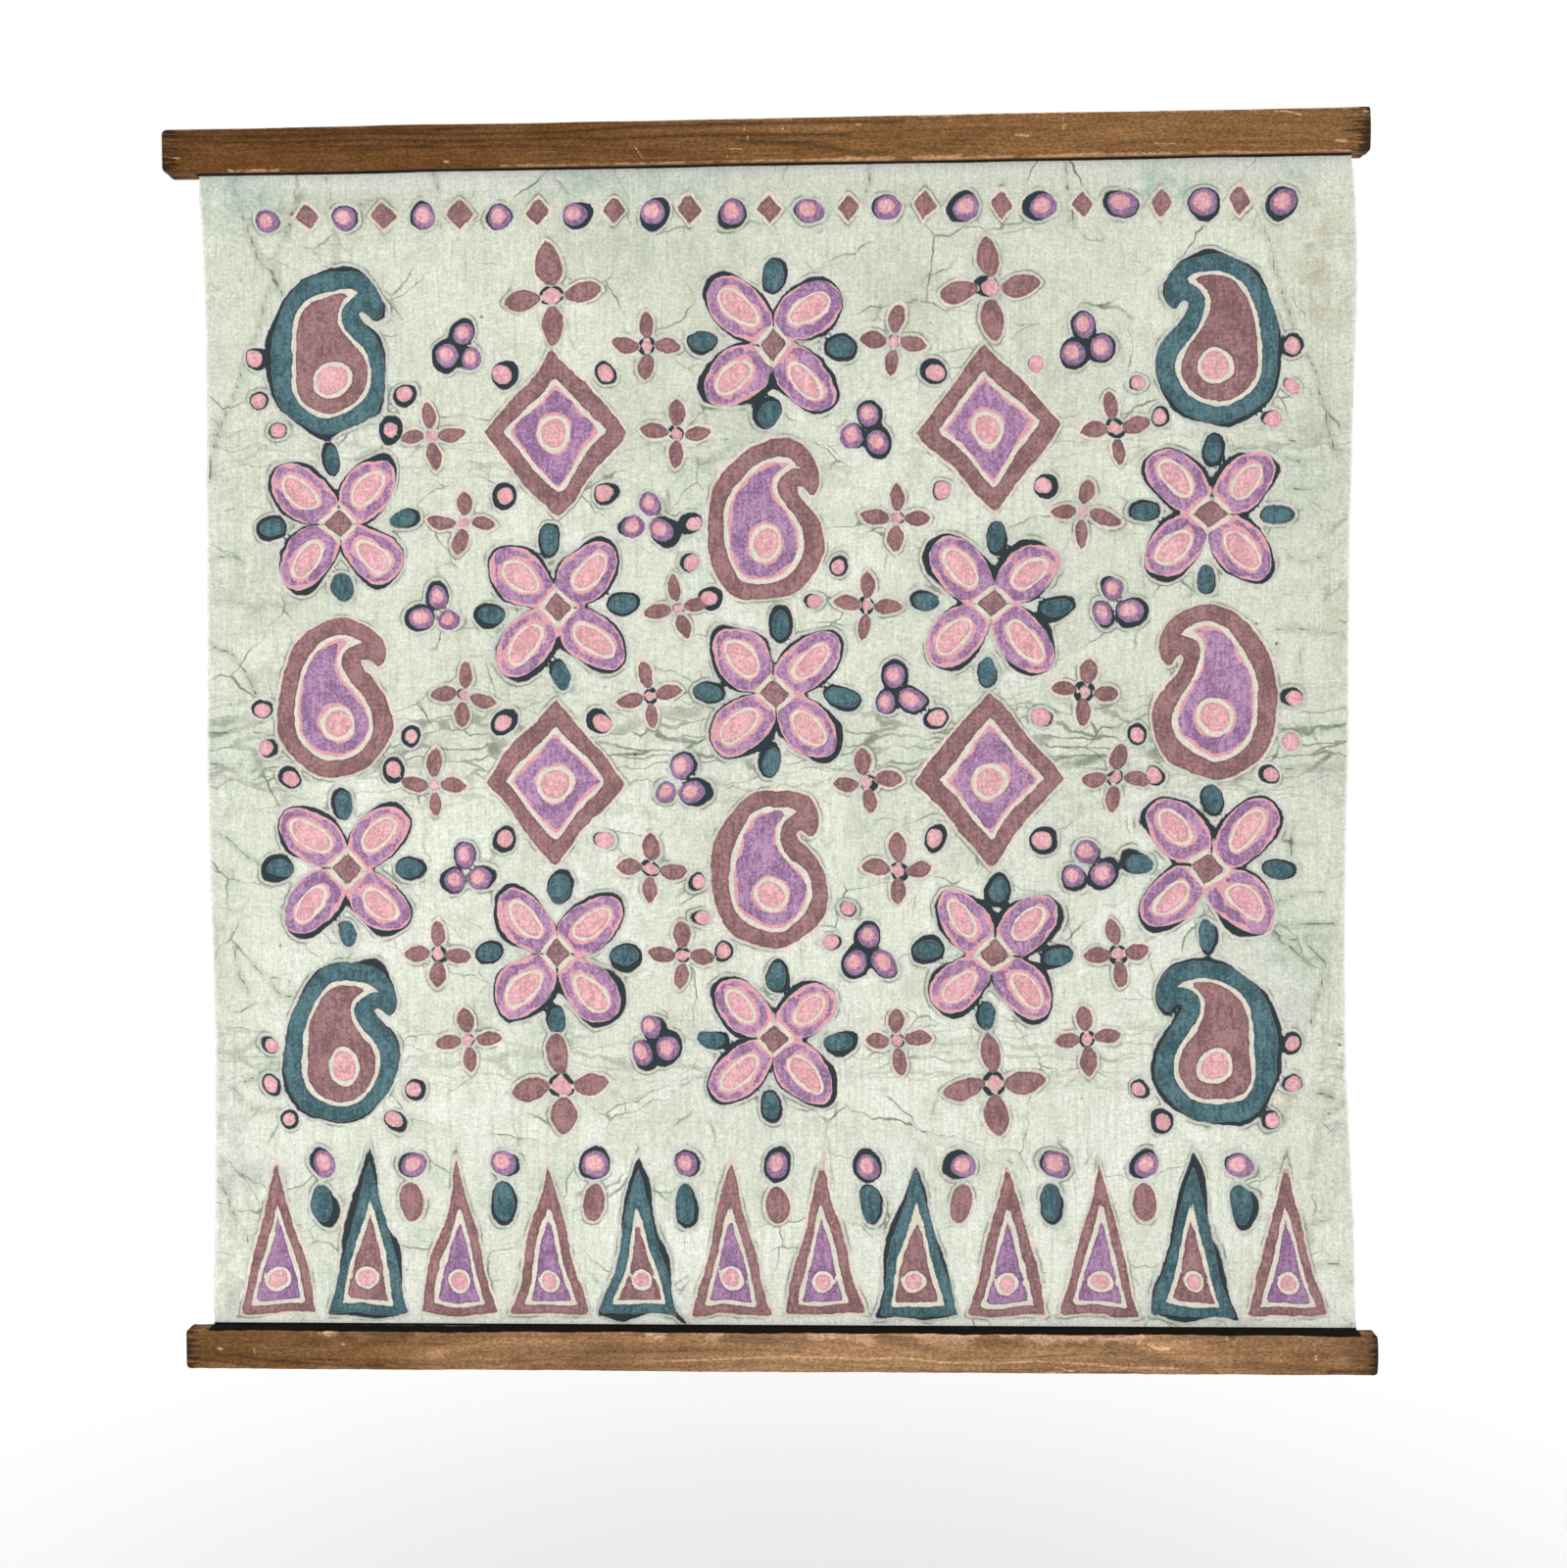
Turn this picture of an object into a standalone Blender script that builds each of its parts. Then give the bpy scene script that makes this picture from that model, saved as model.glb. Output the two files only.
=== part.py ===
"""Batik wall hanging: a sheet of wax-resist dyed cotton clamped at its top and bottom edges
between pairs of stained softwood slats.

Metres, +Z up, and the front faces -Y. The origin is on the rear face of the slat behind the cloth
at the top, where the hanging is fixed to a wall, level with the middle of the slat in front. A
"drop" is a distance below that origin. The slats behind are thinner and lower than those in front
and stand flush with their lower edges.
"""

import bpy
import bmesh
import numpy as np

SLAT_LENGTH = 0.800
FRONT_SLAT_DEPTH = 0.009
BACK_SLAT_DEPTH = 0.005
TOP_SLAT_HEIGHT = 0.0288
BOTTOM_SLAT_HEIGHT = 0.0274
BACK_SLAT_HEIGHT = 0.024
SLAT_SPACING = 0.8074
BOTTOM_SLAT_OFFSET = 0.0044
SLAT_CORNER_RADIUS = 0.0035
SLAT_CORNER_STEPS = 4
SLAT_ARRIS_RADIUS = 0.0012
SLAT_ARRIS_STEPS = 2

CLOTH_THICKNESS = 0.0012
CLEARANCE = 0.0003
CLOTH_TUCK = 0.022
CLOTH_COLUMNS = 36
CLOTH_ROWS = 36

FIRST_FREE_DROP = TOP_SLAT_HEIGHT / 2
LAST_FREE_DROP = SLAT_SPACING - BOTTOM_SLAT_HEIGHT / 2
FLAT_MARGIN = 0.002
HOLD_LENGTH = 0.080

CLOTH_MIDDLE_Y = -(BACK_SLAT_DEPTH + CLEARANCE + CLOTH_THICKNESS / 2)
FRONT_SLAT_Y = -(BACK_SLAT_DEPTH + 2 * CLEARANCE + CLOTH_THICKNESS + FRONT_SLAT_DEPTH / 2)
BACK_SLAT_Y = -BACK_SLAT_DEPTH / 2
TOP_SLAT_FOOT = -TOP_SLAT_HEIGHT / 2
BOTTOM_SLAT_FOOT = -(SLAT_SPACING + BOTTOM_SLAT_HEIGHT / 2)

# The raw side edges draw in and out a little on their way down: drop, left x and right x.
SIDE_EDGES = np.array([
    (0.000, -0.3790, 0.3895),
    (0.040, -0.3773, 0.3924),
    (0.110, -0.3746, 0.3936),
    (0.170, -0.3743, 0.3925),
    (0.265, -0.3765, 0.3890),
    (0.350, -0.3786, 0.3880),
    (0.420, -0.3780, 0.3864),
    (0.530, -0.3759, 0.3860),
    (0.615, -0.3772, 0.3875),
    (0.700, -0.3785, 0.3895),
    (0.807, -0.3800, 0.3935),
])
SIDE_EDGE_DEGREE = 7

# Soft folds that run down the cloth: x at the top, x at the bottom, half width, height forwards.
HANGING_FOLDS = (
    (-0.345, -0.330, 0.030, 0.0022),
    (-0.250, -0.285, 0.055, -0.0026),
    (-0.120, -0.090, 0.060, 0.0030),
    (0.010, 0.035, 0.045, -0.0020),
    (0.130, 0.095, 0.055, 0.0026),
    (0.235, 0.265, 0.050, -0.0024),
    (0.345, 0.335, 0.032, 0.0020),
)

# Folds across the cloth, where it was once kept folded: drop, tilt, half width, height forwards.
STORAGE_FOLDS = (
    (0.205, 0.015, 0.030, 0.0010),
    (0.405, -0.010, 0.022, 0.0018),
    (0.610, 0.012, 0.034, -0.0012),
)

SIDE_CURL = 0.0025
SIDE_CURL_WIDTH = 0.022
SIDE_CURL_WAVE = 0.360


def linear(hex_colour):
    """Turn an sRGB hex colour into a linear one with full opacity."""
    channels = np.array([int(hex_colour[i:i + 2], 16) for i in (0, 2, 4)]) / 255.0
    low = channels / 12.92
    high = ((channels + 0.055) / 1.055) ** 2.4
    return (*np.where(channels <= 0.04045, low, high), 1.0)


def finish(piece, hex_colour, roughness):
    """Give a piece its own material."""
    material = bpy.data.materials.new(piece.name + "_finish")
    material.use_nodes = True
    shader = material.node_tree.nodes["Principled BSDF"]
    shader.inputs["Base Color"].default_value = linear(hex_colour)
    shader.inputs["Roughness"].default_value = roughness
    shader.inputs["Metallic"].default_value = 0.0
    piece.data.materials.clear()
    piece.data.materials.append(material)


def adopt(piece, name, collection):
    """Name a new piece and move it into the hanging's collection."""
    piece.name = name
    piece.data.name = name
    for owner in list(piece.users_collection):
        owner.objects.unlink(piece)
    collection.objects.link(piece)


def bell(distance, half_width):
    """A smooth hump of height 1, half as high one half width from its middle."""
    return np.exp(-np.log(2.0) * (distance / half_width) ** 2)


def ease(t):
    """Rise smoothly from 0 to 1 while t goes from 0 to 1."""
    t = np.clip(t, 0.0, 1.0)
    return t * t * (3.0 - 2.0 * t)


def side_edges(drop):
    """The x of the cloth's left and right edges: polynomials through the table's rows."""
    fits = [
        np.polynomial.Polynomial.fit(SIDE_EDGES[:, 0], SIDE_EDGES[:, column], SIDE_EDGE_DEGREE)
        for column in (1, 2)
    ]
    return fits[0](drop), fits[1](drop)


def relief(x, drop):
    """How far the cloth stands forwards of the plane in which the slats clamp it."""
    fall = (drop - FIRST_FREE_DROP) / (LAST_FREE_DROP - FIRST_FREE_DROP)
    forwards = np.zeros_like(x)
    for top_x, bottom_x, half_width, height in HANGING_FOLDS:
        forwards += height * bell(x - (top_x + (bottom_x - top_x) * fall), half_width)
    for fold_drop, tilt, half_width, height in STORAGE_FOLDS:
        forwards += height * bell(drop - fold_drop - tilt * x, half_width)
    left, right = side_edges(drop)
    from_side = np.minimum(x - left, right - x)
    curl = SIDE_CURL * np.sin(2.0 * np.pi * drop / SIDE_CURL_WAVE + 2.0 * x / SLAT_LENGTH)
    forwards += curl * bell(from_side, SIDE_CURL_WIDTH)
    from_slat = np.minimum(drop - FIRST_FREE_DROP, LAST_FREE_DROP - drop) - FLAT_MARGIN
    return forwards * ease(from_slat / HOLD_LENGTH)


def row_drops():
    """Drops of the cloth's rows: one at each clamped edge, one just clear of each slat."""
    first = FIRST_FREE_DROP + FLAT_MARGIN
    last = LAST_FREE_DROP - FLAT_MARGIN
    free = np.linspace(first, last, CLOTH_ROWS - 1)
    return np.concatenate(([FIRST_FREE_DROP - CLOTH_TUCK], free, [LAST_FREE_DROP + CLOTH_TUCK]))


def make_cloth(collection):
    """One sheet: a grid shaped by its side edges and its relief, given its thickness."""
    bpy.ops.mesh.primitive_grid_add(x_subdivisions=CLOTH_COLUMNS, y_subdivisions=CLOTH_ROWS, size=1.0)
    cloth = bpy.context.active_object
    adopt(cloth, "cloth", collection)

    points = np.empty(len(cloth.data.vertices) * 3)
    cloth.data.vertices.foreach_get("co", points)
    points = points.reshape(-1, 3)
    across = points[:, 0] + 0.5
    row = np.rint((0.5 - points[:, 1]) * CLOTH_ROWS).astype(int)
    drop = row_drops()[row]
    left, right = side_edges(drop)
    x = left + (right - left) * across
    y = CLOTH_MIDDLE_Y - relief(x, drop)
    cloth.data.vertices.foreach_set("co", np.column_stack((x, y, -drop)).ravel())
    cloth.data.update()
    cloth.data.shade_smooth()

    thickness = cloth.modifiers.new("thickness", "SOLIDIFY")
    thickness.thickness = CLOTH_THICKNESS
    thickness.offset = 0.0
    finish(cloth, "D2D5C7", 0.9)


def make_slat(name, depth, height, place, hex_colour, collection):
    """A planed slat: a box with its four end corners rounded and its arrises eased. Its place is
    the middle of its lower edge."""
    bpy.ops.mesh.primitive_cube_add(size=1.0)
    slat = bpy.context.active_object
    adopt(slat, name, collection)

    shape = bmesh.new()
    shape.from_mesh(slat.data)
    bmesh.ops.scale(shape, vec=(SLAT_LENGTH, depth, height), verts=shape.verts)
    corners = [edge for edge in shape.edges if abs(edge.verts[0].co.y - edge.verts[1].co.y) > 0.5 * depth]
    bmesh.ops.bevel(
        shape,
        geom=corners,
        offset=SLAT_CORNER_RADIUS,
        segments=SLAT_CORNER_STEPS,
        profile=0.5,
        affect="EDGES",
    )
    shape.to_mesh(slat.data)
    shape.free()
    x, y, foot = place
    slat.location = (x, y, foot + height / 2)

    arris = slat.modifiers.new("arris", "BEVEL")
    arris.width = SLAT_ARRIS_RADIUS
    arris.segments = SLAT_ARRIS_STEPS
    arris.limit_method = "ANGLE"
    arris.angle_limit = np.radians(60.0)
    finish(slat, hex_colour, 0.55)


def main():
    for old in list(bpy.data.objects):
        bpy.data.objects.remove(old, do_unlink=True)
    collection = bpy.data.collections.new("batik_wall_hanging")
    bpy.context.scene.collection.children.link(collection)

    make_cloth(collection)
    back = (BACK_SLAT_DEPTH, BACK_SLAT_HEIGHT)
    top_front = (0.0, FRONT_SLAT_Y, TOP_SLAT_FOOT)
    top_back = (0.0, BACK_SLAT_Y, TOP_SLAT_FOOT)
    bottom_front = (BOTTOM_SLAT_OFFSET, FRONT_SLAT_Y, BOTTOM_SLAT_FOOT)
    bottom_back = (BOTTOM_SLAT_OFFSET, BACK_SLAT_Y, BOTTOM_SLAT_FOOT)
    make_slat("top_slat_front", FRONT_SLAT_DEPTH, TOP_SLAT_HEIGHT, top_front, "775231", collection)
    make_slat("top_slat_back", *back, top_back, "6D4B29", collection)
    make_slat("bottom_slat_front", FRONT_SLAT_DEPTH, BOTTOM_SLAT_HEIGHT, bottom_front, "8F6A4E", collection)
    make_slat("bottom_slat_back", *back, bottom_back, "7F5C3E", collection)


main()
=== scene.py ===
"""Looks of the batik wall hanging: a sheet of wax-resist dyed cotton held fast between pairs of
stained softwood slats.

Metres, +Z up, and the front faces -Y. The origin is on the rear face of the slat behind the cloth
at the top, level with the middle of the slat in front. A "drop" is a distance below that origin.
The dyed design and the marks on the cloth and the wood are laid out in millimetres, x to the right
and z up.
"""

import bpy
import numpy as np
from mathutils import Matrix


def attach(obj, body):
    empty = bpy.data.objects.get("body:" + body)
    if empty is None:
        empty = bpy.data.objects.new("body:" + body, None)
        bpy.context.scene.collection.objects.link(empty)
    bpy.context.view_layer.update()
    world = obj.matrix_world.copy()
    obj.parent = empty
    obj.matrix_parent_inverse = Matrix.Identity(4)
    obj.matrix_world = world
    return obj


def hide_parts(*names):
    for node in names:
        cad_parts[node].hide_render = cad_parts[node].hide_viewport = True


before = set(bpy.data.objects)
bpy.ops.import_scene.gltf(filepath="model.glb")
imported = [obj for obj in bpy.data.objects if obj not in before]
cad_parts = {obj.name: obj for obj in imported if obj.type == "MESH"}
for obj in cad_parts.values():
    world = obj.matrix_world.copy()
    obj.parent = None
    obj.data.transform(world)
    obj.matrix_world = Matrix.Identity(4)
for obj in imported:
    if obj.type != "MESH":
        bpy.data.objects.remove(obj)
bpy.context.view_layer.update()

MM = 0.001

# The sizes of the slats and the cloth, as in the part's source.
SLAT_LENGTH = 0.800
FRONT_SLAT_DEPTH = 0.009
BACK_SLAT_DEPTH = 0.005
TOP_SLAT_HEIGHT = 0.0288
BOTTOM_SLAT_HEIGHT = 0.0274
BACK_SLAT_HEIGHT = 0.024
SLAT_SPACING = 0.8074
BOTTOM_SLAT_OFFSET = 0.0044
CLOTH_THICKNESS = 0.0012
CLEARANCE = 0.0003
CLOTH_TUCK = 0.022

FIRST_FREE_DROP = TOP_SLAT_HEIGHT / 2
LAST_FREE_DROP = SLAT_SPACING - BOTTOM_SLAT_HEIGHT / 2
FLAT_MARGIN = 0.002
HOLD_LENGTH = 0.080
CLOTH_MIDDLE_Y = -(BACK_SLAT_DEPTH + CLEARANCE + CLOTH_THICKNESS / 2)
SLATS_FRONT_Y = -(BACK_SLAT_DEPTH + FRONT_SLAT_DEPTH + 2 * CLEARANCE + CLOTH_THICKNESS)
TOP_SLAT_FOOT = -TOP_SLAT_HEIGHT / 2
BOTTOM_SLAT_FOOT = -(SLAT_SPACING + BOTTOM_SLAT_HEIGHT / 2)

# The raw side edges draw in and out a little on their way down: drop, left x and right x.
SIDE_EDGES = np.array([
    (0.000, -0.3790, 0.3895),
    (0.040, -0.3773, 0.3924),
    (0.110, -0.3746, 0.3936),
    (0.170, -0.3743, 0.3925),
    (0.265, -0.3765, 0.3890),
    (0.350, -0.3786, 0.3880),
    (0.420, -0.3780, 0.3864),
    (0.530, -0.3759, 0.3860),
    (0.615, -0.3772, 0.3875),
    (0.700, -0.3785, 0.3895),
    (0.807, -0.3800, 0.3935),
])
SIDE_EDGE_DEGREE = 7

# Soft folds that run down the cloth: x at the top, x at the bottom, half width, height forwards.
HANGING_FOLDS = (
    (-0.345, -0.330, 0.030, 0.0022),
    (-0.250, -0.285, 0.055, -0.0026),
    (-0.120, -0.090, 0.060, 0.0030),
    (0.010, 0.035, 0.045, -0.0020),
    (0.130, 0.095, 0.055, 0.0026),
    (0.235, 0.265, 0.050, -0.0024),
    (0.345, 0.335, 0.032, 0.0020),
)

# Folds across the cloth, where it was once kept folded: drop, tilt, half width, height forwards.
STORAGE_FOLDS = (
    (0.205, 0.015, 0.030, 0.0010),
    (0.405, -0.010, 0.022, 0.0018),
    (0.610, 0.012, 0.034, -0.0012),
)

SIDE_CURL = 0.0025
SIDE_CURL_WIDTH = 0.022
SIDE_CURL_WAVE = 0.360

# The grid of the sheet, fine enough to carry a motif's edge: about 2.6 mm each way.
CLOTH_COLUMNS = 296
CLOTH_ROWS = 312
SLATS_TO_CLOTH = 0.00025

# Half the width in mm of the black line of painted shade on the cloth along the upper edge of the lower slat.
SHADE_LINE_HALF_WIDTH = 0.8

# Creases where the wax cracked and the dye ran in: half width and height of the ridge in mm,
# then the points that the crease passes, x and z in mm.
CREASES = (
    (6.0, 0.7, ((-350, -39), (-341, -63), (-330, -80), (-319, -109))),
    (7.0, 0.8, ((-311, -31), (-327, -71), (-330, -86), (-335, -103), (-352, -154), (-367, -189), (-374, -218))),
    (5.0, -0.5, ((-218, -14), (-215, -52))),
    (5.0, -0.5, ((-293, -16), (-287, -41), (-286, -90))),
    (6.0, 0.6, ((-339, -40), (-310, -39), (-289, -39), (-264, -33), (-220, -41))),
    (7.0, 0.8, ((333, -62), (348, -117), (363, -147), (371, -175), (381, -215))),
    (5.0, 0.6, ((-373, -458), (-362, -462), (-348, -477), (-339, -483))),
    (5.0, 0.6, ((-376, -697), (-366, -716), (-362, -723))),
    (5.0, 0.6, ((-356, -729), (-354, -741), (-350, -749), (-342, -767))),
    (6.0, 0.7, ((-378, -390), (-360, -388), (-337, -390), (-328, -394), (-312, -395))),
    (5.0, -0.6, ((-377, -412), (-360, -410), (-319, -409))),
    (5.0, 0.5, ((-377, -419), (-369, -416), (-347, -415))),
    (5.0, 0.5, ((-277, -414), (-250, -412), (-226, -414))),
    (6.0, 0.6, ((385, -392), (360, -394), (338, -391), (300, -393))),
    (5.0, -0.6, ((384, -419), (352, -417), (325, -420), (290, -418))),
    (5.0, 0.5, ((386, -640), (368, -655), (362, -690))),
    (5.0, 0.5, ((204, -16), (207, -58))),
    (5.0, -0.4, ((72, -15), (70, -40))),
    (5.0, 0.5, ((-377, -329), (-362, -338), (-350, -348), (-343, -364))),
    (4.0, 0.4, ((340, -325), (362, -326), (387, -331))),
    (4.0, -0.3, ((356, -341), (355, -356))),
    (4.0, 0.3, ((-376, -271), (-352, -273))),
    (4.0, -0.3, ((-374, -301), (-345, -303), (-318, -303))),
    (3.0, 0.2, ((346, -201), (357, -202), (367, -201))),
    (3.0, 0.2, ((346, -213), (361, -217), (372, -216), (381, -217))),
    (3.0, -0.2, ((352, -231), (362, -233), (372, -232))),
    (3.0, 0.2, ((350, -280), (363, -280), (374, -278))),
    (3.0, 0.2, ((320, -457), (335, -460), (344, -466), (352, -467), (366, -468))),
    (3.0, -0.2, ((351, -456), (351, -473), (347, -483))),
    (4.0, 0.4, ((328, -515), (338, -507), (350, -503), (372, -499))),
    (4.0, 0.4, ((334, -524), (352, -522), (361, -523), (379, -521))),
    (3.0, -0.3, ((335, -525), (352, -532), (367, -532), (378, -529))),
    (3.0, 0.2, ((338, -528), (352, -539), (362, -550))),
    (3.0, 0.2, ((360, -533), (373, -548), (370, -564), (367, -574), (363, -590))),
    (3.0, 0.2, ((350, -622), (350, -640), (347, -658))),
    (3.0, -0.2, ((349, -638), (365, -639), (380, -638))),
    (3.0, 0.3, ((354, -643), (366, -653), (377, -661))),
    (3.0, 0.3, ((363, -731), (361, -722), (373, -720))),
    (3.0, -0.2, ((330, -751), (364, -751), (382, -750))),
    (3.0, 0.2, ((335, -716), (334, -745), (337, -762))),
    (4.0, 0.3, ((-360, -537), (-358, -555), (-354, -566))),
    (3.0, 0.2, ((-347, -547), (-342, -554), (-335, -556), (-327, -554), (-323, -562))),
    (3.0, -0.2, ((-337, -560), (-331, -568), (-326, -571), (-319, -568))),
    (3.0, 0.3, ((-341, -594), (-338, -610), (-341, -620), (-334, -621), (-321, -618))),
    (3.0, 0.3, ((-357, -629), (-351, -625))),
    (3.0, -0.3, ((-366, -631), (-359, -641))),
    (3.0, 0.2, ((-354, -645), (-342, -649), (-330, -646))),
)


def linear(hex_colour):
    """Turns an sRGB hex colour into a linear one with full opacity."""
    channels = np.array([int(hex_colour[i:i + 2], 16) for i in (0, 2, 4)]) / 255.0
    low = channels / 12.92
    high = ((channels + 0.055) / 1.055) ** 2.4
    return (*np.where(channels <= 0.04045, low, high), 1.0)


def bell(distance, half_width):
    """A smooth hump of height 1, half as high one half width from its middle."""
    return np.exp(-np.log(2.0) * (distance / half_width) ** 2)


def ease(t):
    """Rises smoothly from 0 to 1 while t goes from 0 to 1."""
    t = np.clip(t, 0.0, 1.0)
    return t * t * (3.0 - 2.0 * t)


def sway(x, z, size, seed):
    """A smooth field that wanders between about -1 and 1: the sum of five plane waves, each with its
    own bearing and phase and a length near the size given."""
    draw = np.random.default_rng(seed)
    bearings = draw.uniform(0.0, np.pi, 5)
    lengths = size * draw.uniform(0.7, 1.6, 5)
    phases = draw.uniform(0.0, 2.0 * np.pi, 5)
    total = np.zeros(np.broadcast(x, z).shape)
    for bearing, length, phase in zip(bearings, lengths, phases):
        total += np.sin((x * np.cos(bearing) + z * np.sin(bearing)) * 2.0 * np.pi / length + phase)
    return total / 3.0


def line_distance(x, z, points):
    """Distance to a bent line, and the same with a sign that changes from one side of it to the
    other: of the line's straight runs, the nearest one counts at each place."""
    away = np.full(x.shape, np.inf)
    side = np.full(x.shape, np.inf)
    for (start_x, start_z), (end_x, end_z) in zip(points[:-1], points[1:]):
        run_x, run_z = end_x - start_x, end_z - start_z
        along = ((x - start_x) * run_x + (z - start_z) * run_z) / (run_x ** 2 + run_z ** 2)
        along = np.clip(along, 0.0, 1.0)
        gap_x, gap_z = x - start_x - along * run_x, z - start_z - along * run_z
        gap = np.hypot(gap_x, gap_z)
        across = ((x - start_x) * run_z - (z - start_z) * run_x) / np.hypot(run_x, run_z)
        nearer = gap < away
        away = np.where(nearer, gap, away)
        side = np.where(nearer, across, side)
    return away, side


def nearest_line(x, z, lines):
    """Distance and side of whichever line is nearest."""
    away = np.full(x.shape, np.inf)
    side = np.full(x.shape, np.inf)
    for points in lines:
        line_away, line_side = line_distance(x, z, points)
        nearer = line_away < away
        away = np.where(nearer, line_away, away)
        side = np.where(nearer, line_side, side)
    return away, side


def add_piece(name, points, faces, material):
    """Makes a smooth-shaded mesh object at the origin from arrays of points and faces."""
    mesh = bpy.data.meshes.new(name)
    mesh.from_pydata(points.tolist(), [], faces)
    mesh.update()
    mesh.shade_smooth()
    mesh.materials.append(material)
    piece = bpy.data.objects.new(name, mesh)
    bpy.context.scene.collection.objects.link(piece)
    return piece


def keep_field(piece, name, values):
    """Stores one number a point for the piece's material to read."""
    layer = piece.data.attributes.new(name, "FLOAT", "POINT")
    layer.data.foreach_set("value", np.asarray(values, dtype=np.float32).ravel())


def grid_faces(rows, columns, around=False):
    """The quads of a grid of points stored row by row; each row closes on itself if asked."""
    row = np.arange(rows - 1)[:, None]
    column = np.arange(columns if around else columns - 1)[None, :]
    right = (column + 1) % columns
    quads = np.stack(
        np.broadcast_arrays(
            row * columns + column,
            (row + 1) * columns + column,
            (row + 1) * columns + right,
            row * columns + right,
        ),
        axis=-1,
    )
    return quads.reshape(-1, 4).tolist()


# The dyed design: generic paisleys, rosettes and lozenges in rows, over a border of tall triangles.
# Each motif is a set of distances in mm, below 0 inside a dyed shape and above 0 outside it.

DYES = ("mulberry", "violet", "overdyed", "pink", "teal", "motif")
UNDYED = 60.0
WAX_LINE = 2.8
DESIGN_MIDDLE = 6.0
DESIGN_TOP = -132.0
COLUMN_PITCH = 146.0
ROW_PITCH = 117.0
BORDER_FOOT = -786.0
SPEAR_PITCH = 62.0
SPEAR_COUNT = 12
TOP_BORDER = -43.0
TOP_BORDER_PITCH = 26.0
TOP_BORDER_COUNT = 27
HAND_BEND = 1.9


def outside(shape, hole):
    """A shape less another one: the greater of its distance and the other's turned round."""
    return np.maximum(shape, -hole)


def disc(x, z, centre_x, centre_z, radius):
    """Length from the disc's centre less its radius."""
    return np.hypot(x - centre_x, z - centre_z) - radius


def turned(x, z, centre_x, centre_z, turn):
    """Coordinates along and across a direction, from a centre."""
    c, s = np.cos(turn), np.sin(turn)
    return c * (x - centre_x) + s * (z - centre_z), c * (z - centre_z) - s * (x - centre_x)


def oval(x, z, centre_x, centre_z, half_length, half_width, turn):
    """Near an ellipse's rim, (k - 1) k over the length of k's slope, with k the ratio of radii."""
    along, aside = turned(x, z, centre_x, centre_z, turn)
    ratio = np.hypot(along / half_length, aside / half_width)
    slope = np.hypot(along / half_length ** 2, aside / half_width ** 2)
    return ratio * (ratio - 1.0) / np.maximum(slope, 1e-4)


def leaf(x, z, centre_x, centre_z, half_length, half_width, turn):
    """A pointed leaf: what two equal discs share, whose rims cross at its tips."""
    along, aside = turned(x, z, centre_x, centre_z, turn)
    radius = (half_length ** 2 + half_width ** 2) / (2.0 * half_width)
    return np.hypot(along, np.abs(aside) + radius - half_width) - radius


def lozenge(x, z, half_width, half_height):
    """Distance from the nearest side of a diamond about the origin."""
    lean = np.abs(x) / half_width + np.abs(z) / half_height
    return (lean - 1.0) * half_width * half_height / np.hypot(half_width, half_height)


def tall_triangle(x, z, half_base, height):
    """Distance from the nearest side of an upright triangle that stands on z = 0."""
    side = (np.abs(x) * height + (z - height) * half_base) / np.hypot(height, half_base)
    return np.maximum(side, -z)


def ring_of(x, z, count, radius, first_bearing, shape):
    """The least distance of copies of a shape set evenly on a circle."""
    nearest = np.full(x.shape, UNDYED)
    for step in range(count):
        bearing = first_bearing + 2.0 * np.pi * step / count
        copy = shape(x, z, radius * np.cos(bearing), radius * np.sin(bearing), bearing)
        nearest = np.minimum(nearest, copy)
    return nearest


def curled_drop(x, z):
    """The outline of a paisley: discs that shrink along a stalk, which rises and curls over."""
    steps = np.linspace(0.0, 1.0, 32)
    heading = np.radians(112.0 - 205.0 * steps ** 2.0)
    stalk_x = -3.0 + 97.0 / 32 * np.cumsum(np.cos(heading))
    stalk_z = -20.0 + 97.0 / 32 * np.cumsum(np.sin(heading))
    radius = 36.0 * (1.0 - steps) ** 0.85 + 2.8
    rim = np.full(x.shape, UNDYED)
    for centre_x, centre_z, r in zip(stalk_x, stalk_z, radius):
        rim = np.minimum(rim, disc(x, z, centre_x, centre_z, r))
    return rim


def paisley(x, z, body, core):
    """A body, a wax line, a core, and a pink eye in its own wax line, with beads beside it."""
    rim = curled_drop(x, z)
    eye = disc(x, z, -3.0, -18.0, 9.5)
    beads = np.full(x.shape, UNDYED)
    for bearing in np.radians((166.0, 196.0, 226.0, 316.0, 346.0)):
        bead = disc(x, z, -3.0 + 51.5 * np.cos(bearing), -18.0 + 51.5 * np.sin(bearing), 5.2)
        beads = np.minimum(beads, bead)
    return {
        body: outside(rim, rim + 11.5),
        core: outside(rim + 11.5 + WAX_LINE, eye - WAX_LINE),
        "pink": np.minimum(eye, beads),
        "motif": np.minimum(rim, beads),
    }


def mirrored_paisley(x, z, body, core):
    """The paisley curling the other way."""
    return paisley(-x, z, body, core)


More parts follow.
